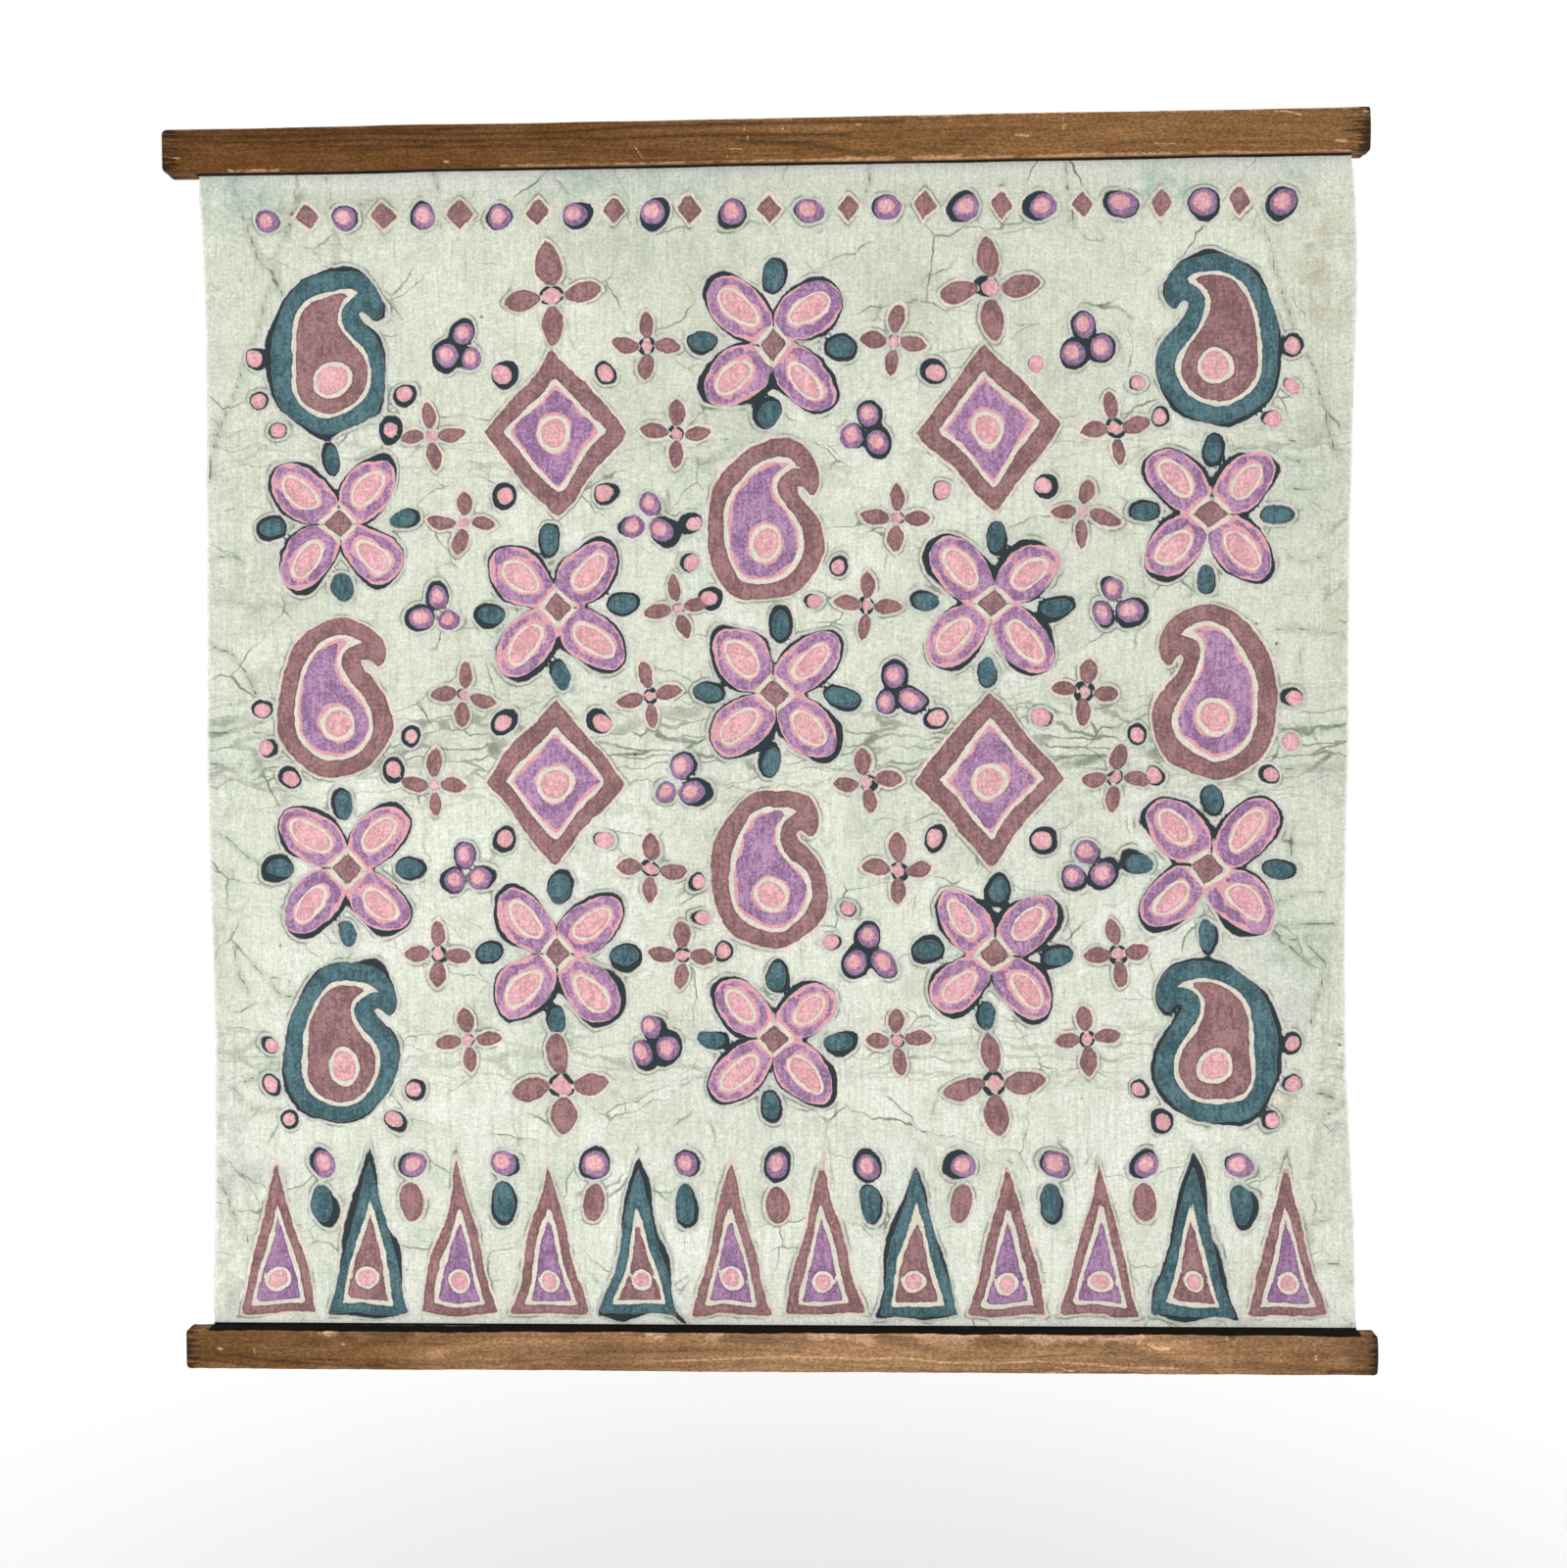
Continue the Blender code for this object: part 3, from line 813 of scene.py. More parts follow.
def batik_cotton():
    """Plain-woven cotton, dyed cold through wax: matt and thready. The wax leaves pale lines with
    uneven edges and broken grey contours, each dye is grainy and a little darker where it pooled
    against the wax, pink shows round the violet that was dyed over it, and the last dark bath shows
    as uneven rims and as crackle."""
    material, tree, shader, in_mm = new_material("batik_cotton")
    names = DYES + (
        "rimmed",
        "dark_rim",
        "crease_away",
        "crease_side",
        "teal_wash",
        "plum_wash",
        "grey_wash",
        "ochre_wash",
        "folded",
        "from_edge",
        "toning",
    )
    field = {name: add(tree, "Attribute", attribute_name=name).outputs["Fac"] for name in names}

    seep = add(tree, "TexNoise", {"Vector": in_mm, "Scale": 1 / 8, "Detail": 4.0, "Roughness": 0.6})
    seep = add(tree, "MapRange", {"Value": seep, "From Min": 0.0, "To Min": -1.7, "To Max": 1.7})
    colour = crackle(tree, in_mm, field, cotton_ground(tree, in_mm, field))

    broken = add(tree, "TexNoise", {"Vector": in_mm, "Scale": 1 / 17, "Detail": 3.0})
    often = add(tree, "MapRange", {"Value": broken, "From Min": 0.40, "From Max": 0.56})
    seldom = add(tree, "MapRange", {"Value": broken, "From Min": 0.48, "From Max": 0.60})
    motif_rim = add(tree, "Math", {0: field["motif"], 1: seep}, operation="ADD")
    dark_rim = add(tree, "Math", {0: field["rimmed"], 1: seep}, operation="ADD")
    dark_rim = add(tree, "Math", {0: dark_rim, 1: field["dark_rim"]}, operation="SUBTRACT")
    rim = add(tree, "Math", {0: motif_rim, 1: dark_rim}, operation="MINIMUM")
    tint = add(tree, "TexNoise", {"Vector": in_mm, "Scale": 1 / 43, "Detail": 3.0})
    tint = add(tree, "MapRange", {"Value": tint, "From Min": 0.42, "From Max": 0.60})
    warm_line = add(tree, "Mix", {"Factor": tint, "A": linear("EADACB"), "B": linear("D6CDBF")}, data_type="RGBA")
    cool_line = add(tree, "Mix", {"Factor": tint, "A": linear("D6D5D1"), "B": linear("C4C9C2")}, data_type="RGBA")
    apart = add(tree, "MapRange", {"Value": field["rimmed"], "From Min": 3.5, "From Max": 7.0})
    wax_line = add(tree, "Mix", {"Factor": apart, "A": cool_line, "B": warm_line}, data_type="RGBA")
    rings = (
        (rim, linear("A6AE9A"), 4.6, 2.2, 0.55, often),
        (rim, linear("6E7663"), 3.1, 2.5, 0.70, seldom),
        (rim, wax_line, 2.2, 1.7, 0.92, None),
        (rim, linear("8C8478"), 0.75, 0.35, 0.55, often),
        (dark_rim, linear("2E3A40"), 0.25, -0.25, 1.0, None),
    )
    for distance, paint, outer, inner, strength, where in rings:
        mask = add(
            tree,
            "MapRange",
            {"Value": distance, "From Min": inner, "From Max": outer, "To Min": strength, "To Max": 0.0},
            interpolation_type="SMOOTHSTEP",
        )
        if where:
            mask = add(tree, "Math", {0: mask, 1: where}, operation="MULTIPLY")
        colour = add(tree, "Mix", {"Factor": mask, "A": colour, "B": paint}, data_type="RGBA")

    uneven = add(tree, "TexNoise", {"Vector": in_mm, "Scale": 1 / 19, "Detail": 7.0, "Roughness": 0.72})
    uneven = add(tree, "MapRange", {"Value": uneven, "From Min": 0.37, "From Max": 0.63})
    grain = add(tree, "TexNoise", {"Vector": in_mm, "Scale": 1 / 1.9, "Detail": 2.0, "Roughness": 0.6})
    slubs = add(tree, "Mapping", {"Vector": in_mm, "Scale": (1 / 2.3, 1.0, 1 / 15)})
    slubs = add(tree, "TexNoise", {"Vector": slubs, "Scale": 1.0, "Detail": 2.0})
    for noise, swing in ((grain, 0.45), (slubs, 0.40)):
        swung = add(
            tree,
            "MapRange",
            {"Value": noise, "From Min": 0.3, "From Max": 0.7, "To Min": -swing, "To Max": swing},
        )
        uneven = add(tree, "Math", {0: uneven, 1: swung}, operation="ADD")
    uneven = add(tree, "Math", {0: uneven, 1: 0.0}, operation="ADD", use_clamp=True)
    wobble = add(tree, "TexNoise", {"Vector": in_mm, "Scale": 1 / 15, "Detail": 2.0})
    wobble = add(tree, "MapRange", {"Value": wobble, "From Min": 0.3, "From Max": 0.7, "To Min": -1.5, "To Max": 2.0})
    layers = (
        ("motif", "E6DFCF", "DAD5C4", "C5C0AE", None),
        ("teal", "3C5A60", "5C7C83", "2E4953", None),
        ("mulberry", "836163", "A67E80", "694A4D", None),
        ("overdyed", "906C93", "BC95B7", "77587E", "E0A6AD"),
        ("violet", "8A668D", "B18BAE", "71527A", None),
        ("pink", "D8A1A6", "EFBABF", "C58B92", None),
    )
    for name, dark, light, pooled, earlier in layers:
        edge = add(tree, "Math", {0: field[name], 1: seep}, operation="ADD")
        dye = add(tree, "Mix", {"Factor": uneven, "A": linear(dark), "B": linear(light)}, data_type="RGBA")
        pool = add(tree, "MapRange", {"Value": edge, "From Min": -1.6, "From Max": -0.2, "To Max": 0.55})
        dye = add(tree, "Mix", {"Factor": pool, "A": dye, "B": linear(pooled)}, data_type="RGBA")
        if earlier:
            shown = add(tree, "Math", {0: edge, 1: wobble}, operation="ADD")
            shown = add(
                tree,
                "MapRange",
                {"Value": shown, "From Min": -1.5, "From Max": -1.0},
                interpolation_type="SMOOTHSTEP",
            )
            dye = add(tree, "Mix", {"Factor": shown, "A": dye, "B": linear(earlier)}, data_type="RGBA")
        mask = add(
            tree,
            "MapRange",
            {"Value": edge, "From Min": -0.3, "From Max": 0.3, "To Min": 1.0, "To Max": 0.0},
            interpolation_type="SMOOTHSTEP",
        )
        colour = add(tree, "Mix", {"Factor": mask, "A": colour, "B": dye}, data_type="RGBA")

    raw = add(
        tree,
        "MapRange",
        {"Value": field["from_edge"], "From Min": 0.8, "From Max": 2.0, "To Min": 0.8, "To Max": 0.0},
    )
    colour = add(tree, "Mix", {"Factor": raw, "A": colour, "B": linear("EEE8E2")}, data_type="RGBA")
    # Painted shade: a black line on the cloth along the upper edge of the lower slat, which widens the slat's painted
    # shade.
    height = add(tree, "SeparateXYZ", {0: in_mm}).outputs["Z"]
    from_slat = add(tree, "Math", {0: height, 1: LAST_FREE_DROP / MM}, operation="ADD")
    from_slat = add(tree, "Math", {0: from_slat}, operation="ABSOLUTE")
    shade_line = add(tree, "MapRange", {"Value": from_slat, "From Min": SHADE_LINE_HALF_WIDTH + 0.15, "From Max": SHADE_LINE_HALF_WIDTH - 0.15})
    colour = add(tree, "Mix", {"Factor": shade_line, "A": colour, "B": linear("16120D")}, data_type="RGBA")

    # The real threads lie about 0.5 mm apart; they are drawn at 1.1 mm, so that they show, and the
    # grain of the dye in them, above, at 1.9 mm.
    warp = add(tree, "Mapping", {"Vector": in_mm, "Scale": (1 / 1.1, 1.0, 1 / 14)})
    warp = add(tree, "TexNoise", {"Vector": warp, "Scale": 1.0, "Detail": 2.0})
    weft = add(tree, "Mapping", {"Vector": in_mm, "Scale": (1 / 9, 1.0, 1 / 1.1)})
    weft = add(tree, "TexNoise", {"Vector": weft, "Scale": 1.0, "Detail": 2.0})
    threads = add(tree, "Math", {0: warp, 1: weft}, operation="ADD")
    colour = colour.outputs[2]
    for source, low, high, at_low, at_high in ((threads, 0.7, 1.3, 0.91, 1.08), (grain, 0.3, 0.7, 0.83, 1.16)):
        lift = add(
            tree,
            "MapRange",
            {"Value": source, "From Min": low, "From Max": high, "To Min": at_low, "To Max": at_high},
        )
        colour = add(tree, "VectorMath", {"Vector": colour, "Scale": lift}, operation="SCALE").outputs[0]

    soft = add(tree, "TexNoise", {"Vector": in_mm, "Scale": 1 / 11, "Detail": 3.0})
    bump = add(tree, "Bump", {"Height": soft, "Distance": 0.0009, "Strength": 0.5})
    bump = add(tree, "Bump", {"Height": threads, "Distance": 0.0002, "Strength": 0.5, "Normal": bump})
    tree.links.new(colour, shader.inputs["Base Color"])
    tree.links.new(bump.outputs[0], shader.inputs["Normal"])
    shader.inputs["Roughness"].default_value = 0.92
    shader.inputs["Specular IOR Level"].default_value = 0.2
    shader.inputs["Sheen Weight"].default_value = 0.1
    shader.inputs["Sheen Roughness"].default_value = 0.5
    return material


# The slats.

SLAT_STATIONS = 700
ARRIS_STEPS = 5
FRONT_FACE_STEPS = 42
OTHER_FACE_STEPS = 5
ARRIS_RADIUS = 0.0012

# How the front slats look, in mm: x from the hanging's middle, z from the slat's middle.
# How thin the stain lies along the slat: x, share.
TOP_STAIN = ((-400, 0.0), (-205, 0.1), (-126, 0.25), (-48, 0.5), (108, 0.72), (304, 1.0), (400, 0.8))
BOTTOM_STAIN = (
    (-396, 0.0),
    (-313, 0.0),
    (-274, 0.28),
    (-195, 0.45),
    (-116, 0.5),
    (-38, 0.8),
    (20, 0.95),
    (120, 0.85),
    (199, 0.7),
    (278, 0.7),
    (317, 0.5),
    (380, 0.45),
    (397, 0.15),
    (404, 0.0),
)
# Stretches of an arris rubbed bare: the upper (1) or lower (-1) one, x from, x to, depth.
TOP_WORN = (
    (1, -138, -130, 0.9),
    (1, -90, -30, 0.6),
    (1, -27, 24, 1.1),
    (1, 42, 66, 0.8),
    (1, 90, 136, 1.8),
    (1, 136, 250, 1.1),
    (1, 256, 305, 1.8),
    (1, 312, 327, 2.2),
    (1, 326, 396, 1.8),
    (-1, -356, -320, 1.6),
    (-1, -212, -196, 1.1),
    (-1, -172, -38, 1.4),
    (-1, -40, 48, 1.6),
    (-1, -7, 2, 1.9),
    (-1, 46, 90, 2.7),
    (-1, 101, 135, 2.7),
    (-1, 135, 200, 1.7),
    (-1, 196, 262, 2.3),
    (-1, 262, 330, 1.9),
    (-1, 330, 388, 1.4),
)
BOTTOM_WORN = (
    (1, -301, -289, 4.2),
    (1, -84, -67, 7.5),
    (1, -42, -31, 9.0),
    (1, 26, 52, 6.0),
    (1, 50, 74, 9.2),
    (1, 98, 141, 9.0),
    (1, 154, 166, 3.5),
    (1, 170, 217, 8.4),
    (1, 203, 250, 6.6),
    (1, 296, 320, 1.2),
    (-1, 180, 215, 1.3),
)
# Scratches, chips and bare streaks: half width, then the points that each one passes.
TOP_MARKS = (
    (0.6, ((-82, -3.2), (-76.5, -11.6))),
    (0.5, ((-10, 12), (-9.4, 6))),
    (0.6, ((-7.6, 3), (-6.6, -2.4))),
    (0.4, ((-22, -5.4), (-11, -5.7))),
    (0.7, ((-21, -10), (-20.6, -11.6))),
    (0.8, ((64.4, 8.6), (67.8, 9.2))),
    (0.7, ((15.2, 7), (16.4, 7.3))),
    (0.6, ((126.8, 12.3), (126.4, 9.6))),
    (0.5, ((122.4, 3.6), (122.2, 1))),
    (0.5, ((114.2, -6), (114.6, -8.6))),
    (0.7, ((143, 11), (144, 11.3))),
    (0.9, ((169, -0.3), (177.4, -0.5))),
    (0.6, ((200, 11), (200.8, 7), (200.4, 3))),
    (0.7, ((338, 12.4), (346, 12.2), (355, 9.8))),
    (1.3, ((378, -7.2), (383.6, -7.8))),
    (2.0, ((396, 11.4), (400, 10.6))),
    (0.5, ((260, -7), (266, -7.4), (273, -7.4))),
    (0.7, ((-395, -4.6), (-387.4, -5))),
    (0.9, ((-209, -10.4), (-206, -10.4))),
)
BOTTOM_MARKS = (
    (
        0.9,
        (
            (-64, -6.2),
            (-34, -5),
            (12, -2.9),
            (67, -4.3),
            (86, -2.9),
            (113, -6.2),
            (153, -6.9),
            (180, -5.2),
            (216, -6.6),
            (235, -9.2),
            (272, -9.5),
        ),
    ),
    (1.6, ((254, 6.4), (258, 4.2), (266, 3.4))),
    (1.0, ((-288.6, 4.2), (-287.6, 3.8))),
    (0.9, ((-348.6, 0.4), (-348.4, -2.6))),
    (0.8, ((-374, 0.4), (-371, 0.2))),
    (0.8, ((362, 8), (362.6, 7))),
    (0.9, ((363.4, -0.6), (363.6, -3))),
    (0.6, ((98, -8), (96, -12))),
    (0.7, ((304.6, 11.6), (306, 8.8), (310, 8.6), (312.6, 11.6))),
    (0.8, ((79, 3.6), (80.4, 3.4))),
    (0.7, ((190, -9), (205, -12))),
)
# Lighter (above 0) and darker bands of the grain: half width, strength, points.
TOP_FIGURE = (
    (0.9, -0.9, ((-398, 9.5), (-330, 8.5), (-250, 9.2), (-208, 7.3), (-130, 7.4), (-80, 10.3), (40, 10.8), (95, 10.2))),
    (0.9, -0.8, ((-385, 6), (-320, 4.2), (-260, 5), (-208, 3), (-125, 3.4), (-102, 2.2), (-45, 4), (60, 2.6))),
    (0.8, -0.7, ((-300, 1.2), (-240, 0.4), (-208, -1.1), (-188, -0.6), (-155, -1), (-120, -2.4))),
    (0.8, -0.7, ((-395, 11.8), (-330, 12.4), (-230, 11), (-190, 11.6))),
    (1.6, 0.35, ((-30, 8.2), (60, 7.2))),
    (1.5, -0.6, ((-10, -0.5), (20, -2.5), (45, -5.5), (62, -9.4), (86, -10))),
    (1.4, -0.5, ((92, -6), (105, -7.5), (128, -10.4))),
    (2.2, 0.3, ((214, -0.8), (236, -1.6), (262, -3))),
    (2.6, 0.3, ((232, 3), (250, 1), (262, 4))),
    (2.4, 0.28, ((318, 3), (345, 2))),
    (2.2, -0.35, ((-395, -1), (-384, -1.4))),
    (3.0, -0.28, ((282, 8), (300, 9))),
)
BOTTOM_FIGURE = (
    (0.9, -0.8, ((-394, -1.3), (-362, -3.9), (-335, -7.6), (-295, -10.4), (-262, -10.2))),
    (0.8, -0.8, ((-394, -6.5), (-375, -7.8), (-348, -11.6))),
    (0.8, -0.5, ((-360, -2.4), (-320, -5.6), (-290, -7.4))),
    (2.4, 0.5, ((-274, -2), (-248, 2.6), (-233, 10.5))),
    (2.8, 0.5, ((-228, -2), (-198, 5), (-150, 8), (-95, 8.4), (-40, 9))),
    (2.6, -0.6, ((-268, 11), (-252, 9.6), (-243, 11.6))),
    (2.0, -0.6, ((-288, 9.6), (-281, 8))),
    (2.4, -0.3, ((-120, 0.4), (-60, -0.5), (-20, 2.8), (20, 3))),
    (3.0, -0.32, ((-24, 9.5), (8, 9))),
    (3.2, -0.4, ((76, 10), (92, 6.5), (112, 1.5))),
    (2.6, -0.35, ((142, 6), (160, 8), (168, 5))),
    (4.2, 0.62, ((250, 8), (268, 4), (286, -1), (302, -5.4))),
    (3.0, 0.30, ((272, 9), (290, 5), (306, 0))),
    (1.2, -0.9, ((307.6, 12), (309.4, 11.4))),
    (3.2, -0.35, ((226, 3), (244, 1), (262, -5), (290, -10))),
    (2.0, -0.3, ((318, -6), (360, -8))),
    (2.4, -0.45, ((388, 8.4), (406, 8.0))),
    (2.8, -0.50, ((382, 2.4), (406, 2.0))),
    (2.6, -0.50, ((387, -3.6), (406, -3.8))),
    (1.5, -0.90, ((372, -11.0), (406, -10.4))),
)
# Free side: 1 if the cloth lies along the upper face, -1 if along the lower one, 0 if the slat is
# behind it. Dark from: mm behind the front at which that face turns black with painted shade. Ends:
# how much shorter the dark stripes are at the left and the right end than on the darkest one.
# Corners: the radius of the left and the right end's corners, in metres.
TOP_LOOKS = dict(
    free_side=-1,
    dark_from=2.5,
    ends=(1.2, 0.9),
    corners=(0.0035, 0.0018),
    stain=TOP_STAIN,
    worn=TOP_WORN,
    marks=TOP_MARKS,
    figure=TOP_FIGURE,
)
BOTTOM_LOOKS = dict(
    free_side=1,
    dark_from=-2.0,
    ends=(1.7, 2.6),
    corners=(0.0035, 0.0030),
    stain=BOTTOM_STAIN,
    worn=BOTTOM_WORN,
    marks=BOTTOM_MARKS,
    figure=BOTTOM_FIGURE,
)
BACK_LOOKS = dict(
    free_side=0,
    dark_from=0.0,
    ends=(1.5, 1.5),
    corners=(0.0035, 0.0035),
    stain=((-400, 0.2), (400, 0.2)),
    worn=(),
    marks=(),
    figure=(),
)


def slat_section():
    """The closed section of a slat: straight faces joined by quarter circles. Gives the middles of
    the rounding, as shares of the half sizes less the radius, and the directions of the rounding."""
    middles = []
    bearings = []
    corners = ((-1, 1, 180, 90), (1, 1, 90, 0), (1, -1, 0, -90), (-1, -1, -90, -180))
    face_steps = (OTHER_FACE_STEPS, OTHER_FACE_STEPS, OTHER_FACE_STEPS, FRONT_FACE_STEPS)
    for (side_y, side_z, start, end), steps, following in zip(corners, face_steps, corners[1:] + corners[:1]):
        for bearing in np.linspace(start, end, ARRIS_STEPS):
            middles.append((side_y, side_z))
            bearings.append(bearing)
        for share in np.linspace(0.0, 1.0, steps + 1)[1:-1]:
            middles.append((side_y + (following[0] - side_y) * share, side_z + (following[1] - side_z) * share))
            bearings.append(end)
    bearings = np.radians(bearings)
    return np.array(middles), np.column_stack((np.cos(bearings), np.sin(bearings)))


def keep_looks(slat, x, up, behind, half_height, looks):
    """Stores the slat's stain, wear, marks and grain: how far inside a worn stretch or a mark each
    point lies, as a share of its depth or half width, and the sum of a bell across each band of the
    grain. Behind is the distance from the front face, which counts as well."""
    keep_field(slat, "thin_stain", np.interp(x, *np.transpose(looks["stain"])))
    worn = np.full(x.shape, -5.0)
    for side, start, end, depth in looks["worn"]:
        ramp = 3.0 + 0.8 * depth
        reach = ease((x - start) / ramp + 0.5) * ease((end - x) / ramp + 0.5)
        worn = np.maximum(worn, reach - (half_height - side * up + behind) / depth)
    keep_field(slat, "worn", worn)
    marked = np.full(x.shape, -5.0)
    for half_width, points in looks["marks"]:
        away = line_distance(x, up, points)[0] + behind
        marked = np.maximum(marked, 1.0 - away / half_width)
    keep_field(slat, "marked", marked)
    figure = np.zeros(x.shape)
    for half_width, strength, points in looks["figure"]:
        figure += strength * bell(line_distance(x, up, points)[0], half_width)
    keep_field(slat, "figure", figure)


def make_slat(name, height, middle_x, foot, back_y, front_y, seed, looks, material):
    """A planed slat: its section carried along x. Near each end the section grows lower by a quarter
    circle of the corner radius and thinner by one of the arris radius; the arrises are worn by
    hand use, so their radius wanders, and the long edges wander a little too."""
    depth = back_y - front_y
    middle_z = foot + height / 2
    near_end = np.array([0.0, 0.15, 0.4, 0.8, 1.4, 2.2, 3.0, 3.6]) * MM
    inner = np.linspace(near_end[-1], SLAT_LENGTH - near_end[-1], SLAT_STATIONS)
    station = np.concatenate((near_end[:-1], inner, SLAT_LENGTH - near_end[:-1][::-1]))[:, None]
    from_end = np.minimum(station, SLAT_LENGTH - station)
    x = station - SLAT_LENGTH / 2
    x_mm = x / MM

    middles, directions = slat_section()
    side_y, side_z = middles[None, :, 0], middles[None, :, 1]
    worn = 1.0 + 0.45 * sway(x_mm, 40.0 * side_z, 70.0, seed) + 0.25 * sway(x_mm, 40.0 * side_z, 14.0, seed + 1)
    radius = ARRIS_RADIUS * np.clip(worn, 0.5, 1.9)
    corner_radius = np.where(station < SLAT_LENGTH / 2, *looks["corners"])
    corner = np.maximum(corner_radius - from_end, 0.0)
    lower = corner_radius - np.sqrt(corner_radius ** 2 - corner ** 2)
    eased = np.maximum(ARRIS_RADIUS - from_end, 0.0)
    thinner = ARRIS_RADIUS - np.sqrt(ARRIS_RADIUS ** 2 - eased ** 2)
    half_height = height / 2 - lower - radius
    half_depth = depth / 2 - thinner - radius
    wander = 0.22 * MM * sway(x_mm, 90.0 * side_z, 160.0, seed + 2) * np.abs(side_z)
    y = (back_y + front_y) / 2 + side_y * half_depth + radius * directions[None, :, 0]
    z = middle_z + side_z * half_height + radius * directions[None, :, 1] + wander
    bow = 0.35 * MM * bell(x_mm - 400.0, 1.6) * (1.0 - side_z ** 2)
    x = np.broadcast_to(x, y.shape) + bow + middle_x

    points = np.stack((x, y, z), axis=-1).reshape(-1, 3)
    around = len(middles)
    rows = len(station)
    faces = grid_faces(rows, around, around=True)
    faces.append(list(range(around)))
    faces.append(list(range((rows - 1) * around, rows * around))[::-1])
    slat = add_piece(name, points, faces, material)

    soaked = np.minimum(station * looks["ends"][0], (SLAT_LENGTH - station) * looks["ends"][1])
    keep_field(slat, "from_end", np.broadcast_to(soaked / MM, y.shape))
    # Painted shade: the face towards the free cloth, from dark_from mm behind the front, and the free half of the face
    # against the cloth are marked, as wide as the cloth, to be painted near black where they lie in shade.
    left, right = side_edges(-middle_z)
    within = ease((x - left) / MM + 0.5) * ease((right - x) / MM + 0.5)
    free = ease((y - front_y) / MM - looks["dark_from"]) * (directions[None, :, 1] * looks["free_side"] > 0.3)
    inner = (y > back_y - 1.2 * MM) & (side_z * looks["free_side"] > 0.0)
    keep_field(slat, "clamped", within * np.maximum(free, inner) * abs(looks["free_side"]))
    keep_looks(slat, x / MM, (z - middle_z) / MM, (y - front_y) / MM, height / 2 / MM, looks)
    return slat


def stained_softwood(name, deep, thin, bare, shift):
    """Planed pine, brown-stained by brush and rubbed by years of handling: satin, the dark late
    wood in long wavering lines, near black where end grain drank the stain, pale at worn arrises,
    and near black with painted shade on the front slats' faces next to the cloth."""
    material, tree, shader, in_mm = new_material(name)
    names = ("thin_stain", "worn", "marked", "figure", "from_end", "clamped")
    field = {each: add(tree, "Attribute", attribute_name=each).outputs["Fac"] for each in names}

    moved = add(tree, "VectorMath", {0: in_mm, 1: shift}, operation="ADD")
    blotch = add(tree, "Mapping", {"Vector": moved, "Scale": (1 / 42, 1 / 12, 1 / 11)})
    blotch = add(tree, "TexNoise", {"Vector": blotch, "Scale": 1.0, "Detail": 4.0, "Roughness": 0.6})
    uneven = add(tree, "MapRange", {"Value": blotch, "From Min": 0.3, "From Max": 0.7, "To Min": -0.3, "To Max": 0.3})
    lying = add(tree, "Math", {0: field["thin_stain"], 1: uneven}, operation="ADD", use_clamp=True)
    colour = add(tree, "Mix", {"Factor": lying, "A": linear(deep), "B": linear(thin)}, data_type="RGBA")

    patchy = add(tree, "Mapping", {"Vector": moved, "Scale": (1 / 9, 1 / 4, 1 / 4)})
    patchy = add(tree, "TexNoise", {"Vector": patchy, "Scale": 1.0, "Detail": 5.0, "Roughness": 0.7})
    gritty = add(tree, "Mapping", {"Vector": moved, "Scale": (1 / 2.4, 1 / 1.5, 1 / 1.5)})
    gritty = add(tree, "TexNoise", {"Vector": gritty, "Scale": 1.0, "Detail": 3.0, "Roughness": 0.7})
    for name, noise, strength, hex_colour in (("worn", patchy, 0.85, bare), ("marked", gritty, 0.85, "CFA27A")):
        ragged = add(tree, "MapRange", {"Value": noise, "From Min": 0.3, "From Max": 0.7, "To Min": -0.75, "To Max": 0.45})
        inside = add(tree, "Math", {0: field[name], 1: ragged}, operation="ADD")
        mask = add(
            tree,
            "MapRange",
            {"Value": inside, "From Min": -0.15, "From Max": 0.40, "To Max": strength},
            interpolation_type="SMOOTHSTEP",
        )
        colour = add(tree, "Mix", {"Factor": mask, "A": colour, "B": linear(hex_colour)}, data_type="RGBA")

    slow = add(tree, "Mapping", {"Vector": moved, "Scale": (1 / 150, 1 / 30, 1 / 34)})
    slow = add(tree, "TexNoise", {"Vector": slow, "Scale": 1.0, "Detail": 2.0})
    swing = add(tree, "MapRange", {"Value": slow, "To Min": -11.0, "To Max": 11.0})
    swing = add(tree, "CombineXYZ", {"Z": swing})
    bent = add(tree, "VectorMath", {0: moved, 1: swing}, operation="ADD")
    rings = add(tree, "Mapping", {"Vector": bent, "Scale": (1 / 170, 1 / 5, 1 / 2.3)})
    rings = add(tree, "TexNoise", {"Vector": rings, "Scale": 1.0, "Detail": 3.0, "Roughness": 0.55})
    late_wood = add(tree, "MapRange", {"Value": rings, "From Min": 0.44, "From Max": 0.66})
    fibres = add(tree, "Mapping", {"Vector": bent, "Scale": (1 / 22, 1.0, 1 / 0.9)})
    fibres = add(tree, "TexNoise", {"Vector": fibres, "Scale": 1.0, "Detail": 3.0, "Roughness": 0.7})
    pores = add(tree, "Mapping", {"Vector": moved, "Scale": (1 / 2.4, 1.0, 1 / 1.4)})
    pores = add(tree, "TexNoise", {"Vector": pores, "Scale": 1.0, "Detail": 2.0, "Roughness": 0.6})
    shades = (
        (late_wood, 0.0, 1.0, 1.07, 0.76),
        (fibres, 0.3, 0.7, 0.80, 1.20),
        (pores, 0.32, 0.68, 0.62, 1.38),
        (field["figure"], -1.0, 1.0, 0.40, 1.60),
    )
    colour = colour.outputs[2]
    for source, low, high, at_low, at_high in shades:
        shade = add(
            tree,
            "MapRange",
            {"Value": source, "From Min": low, "From Max": high, "To Min": at_low, "To Max": at_high},
        )
        colour = add(tree, "VectorMath", {"Vector": colour, "Scale": shade}, operation="SCALE").outputs[0]

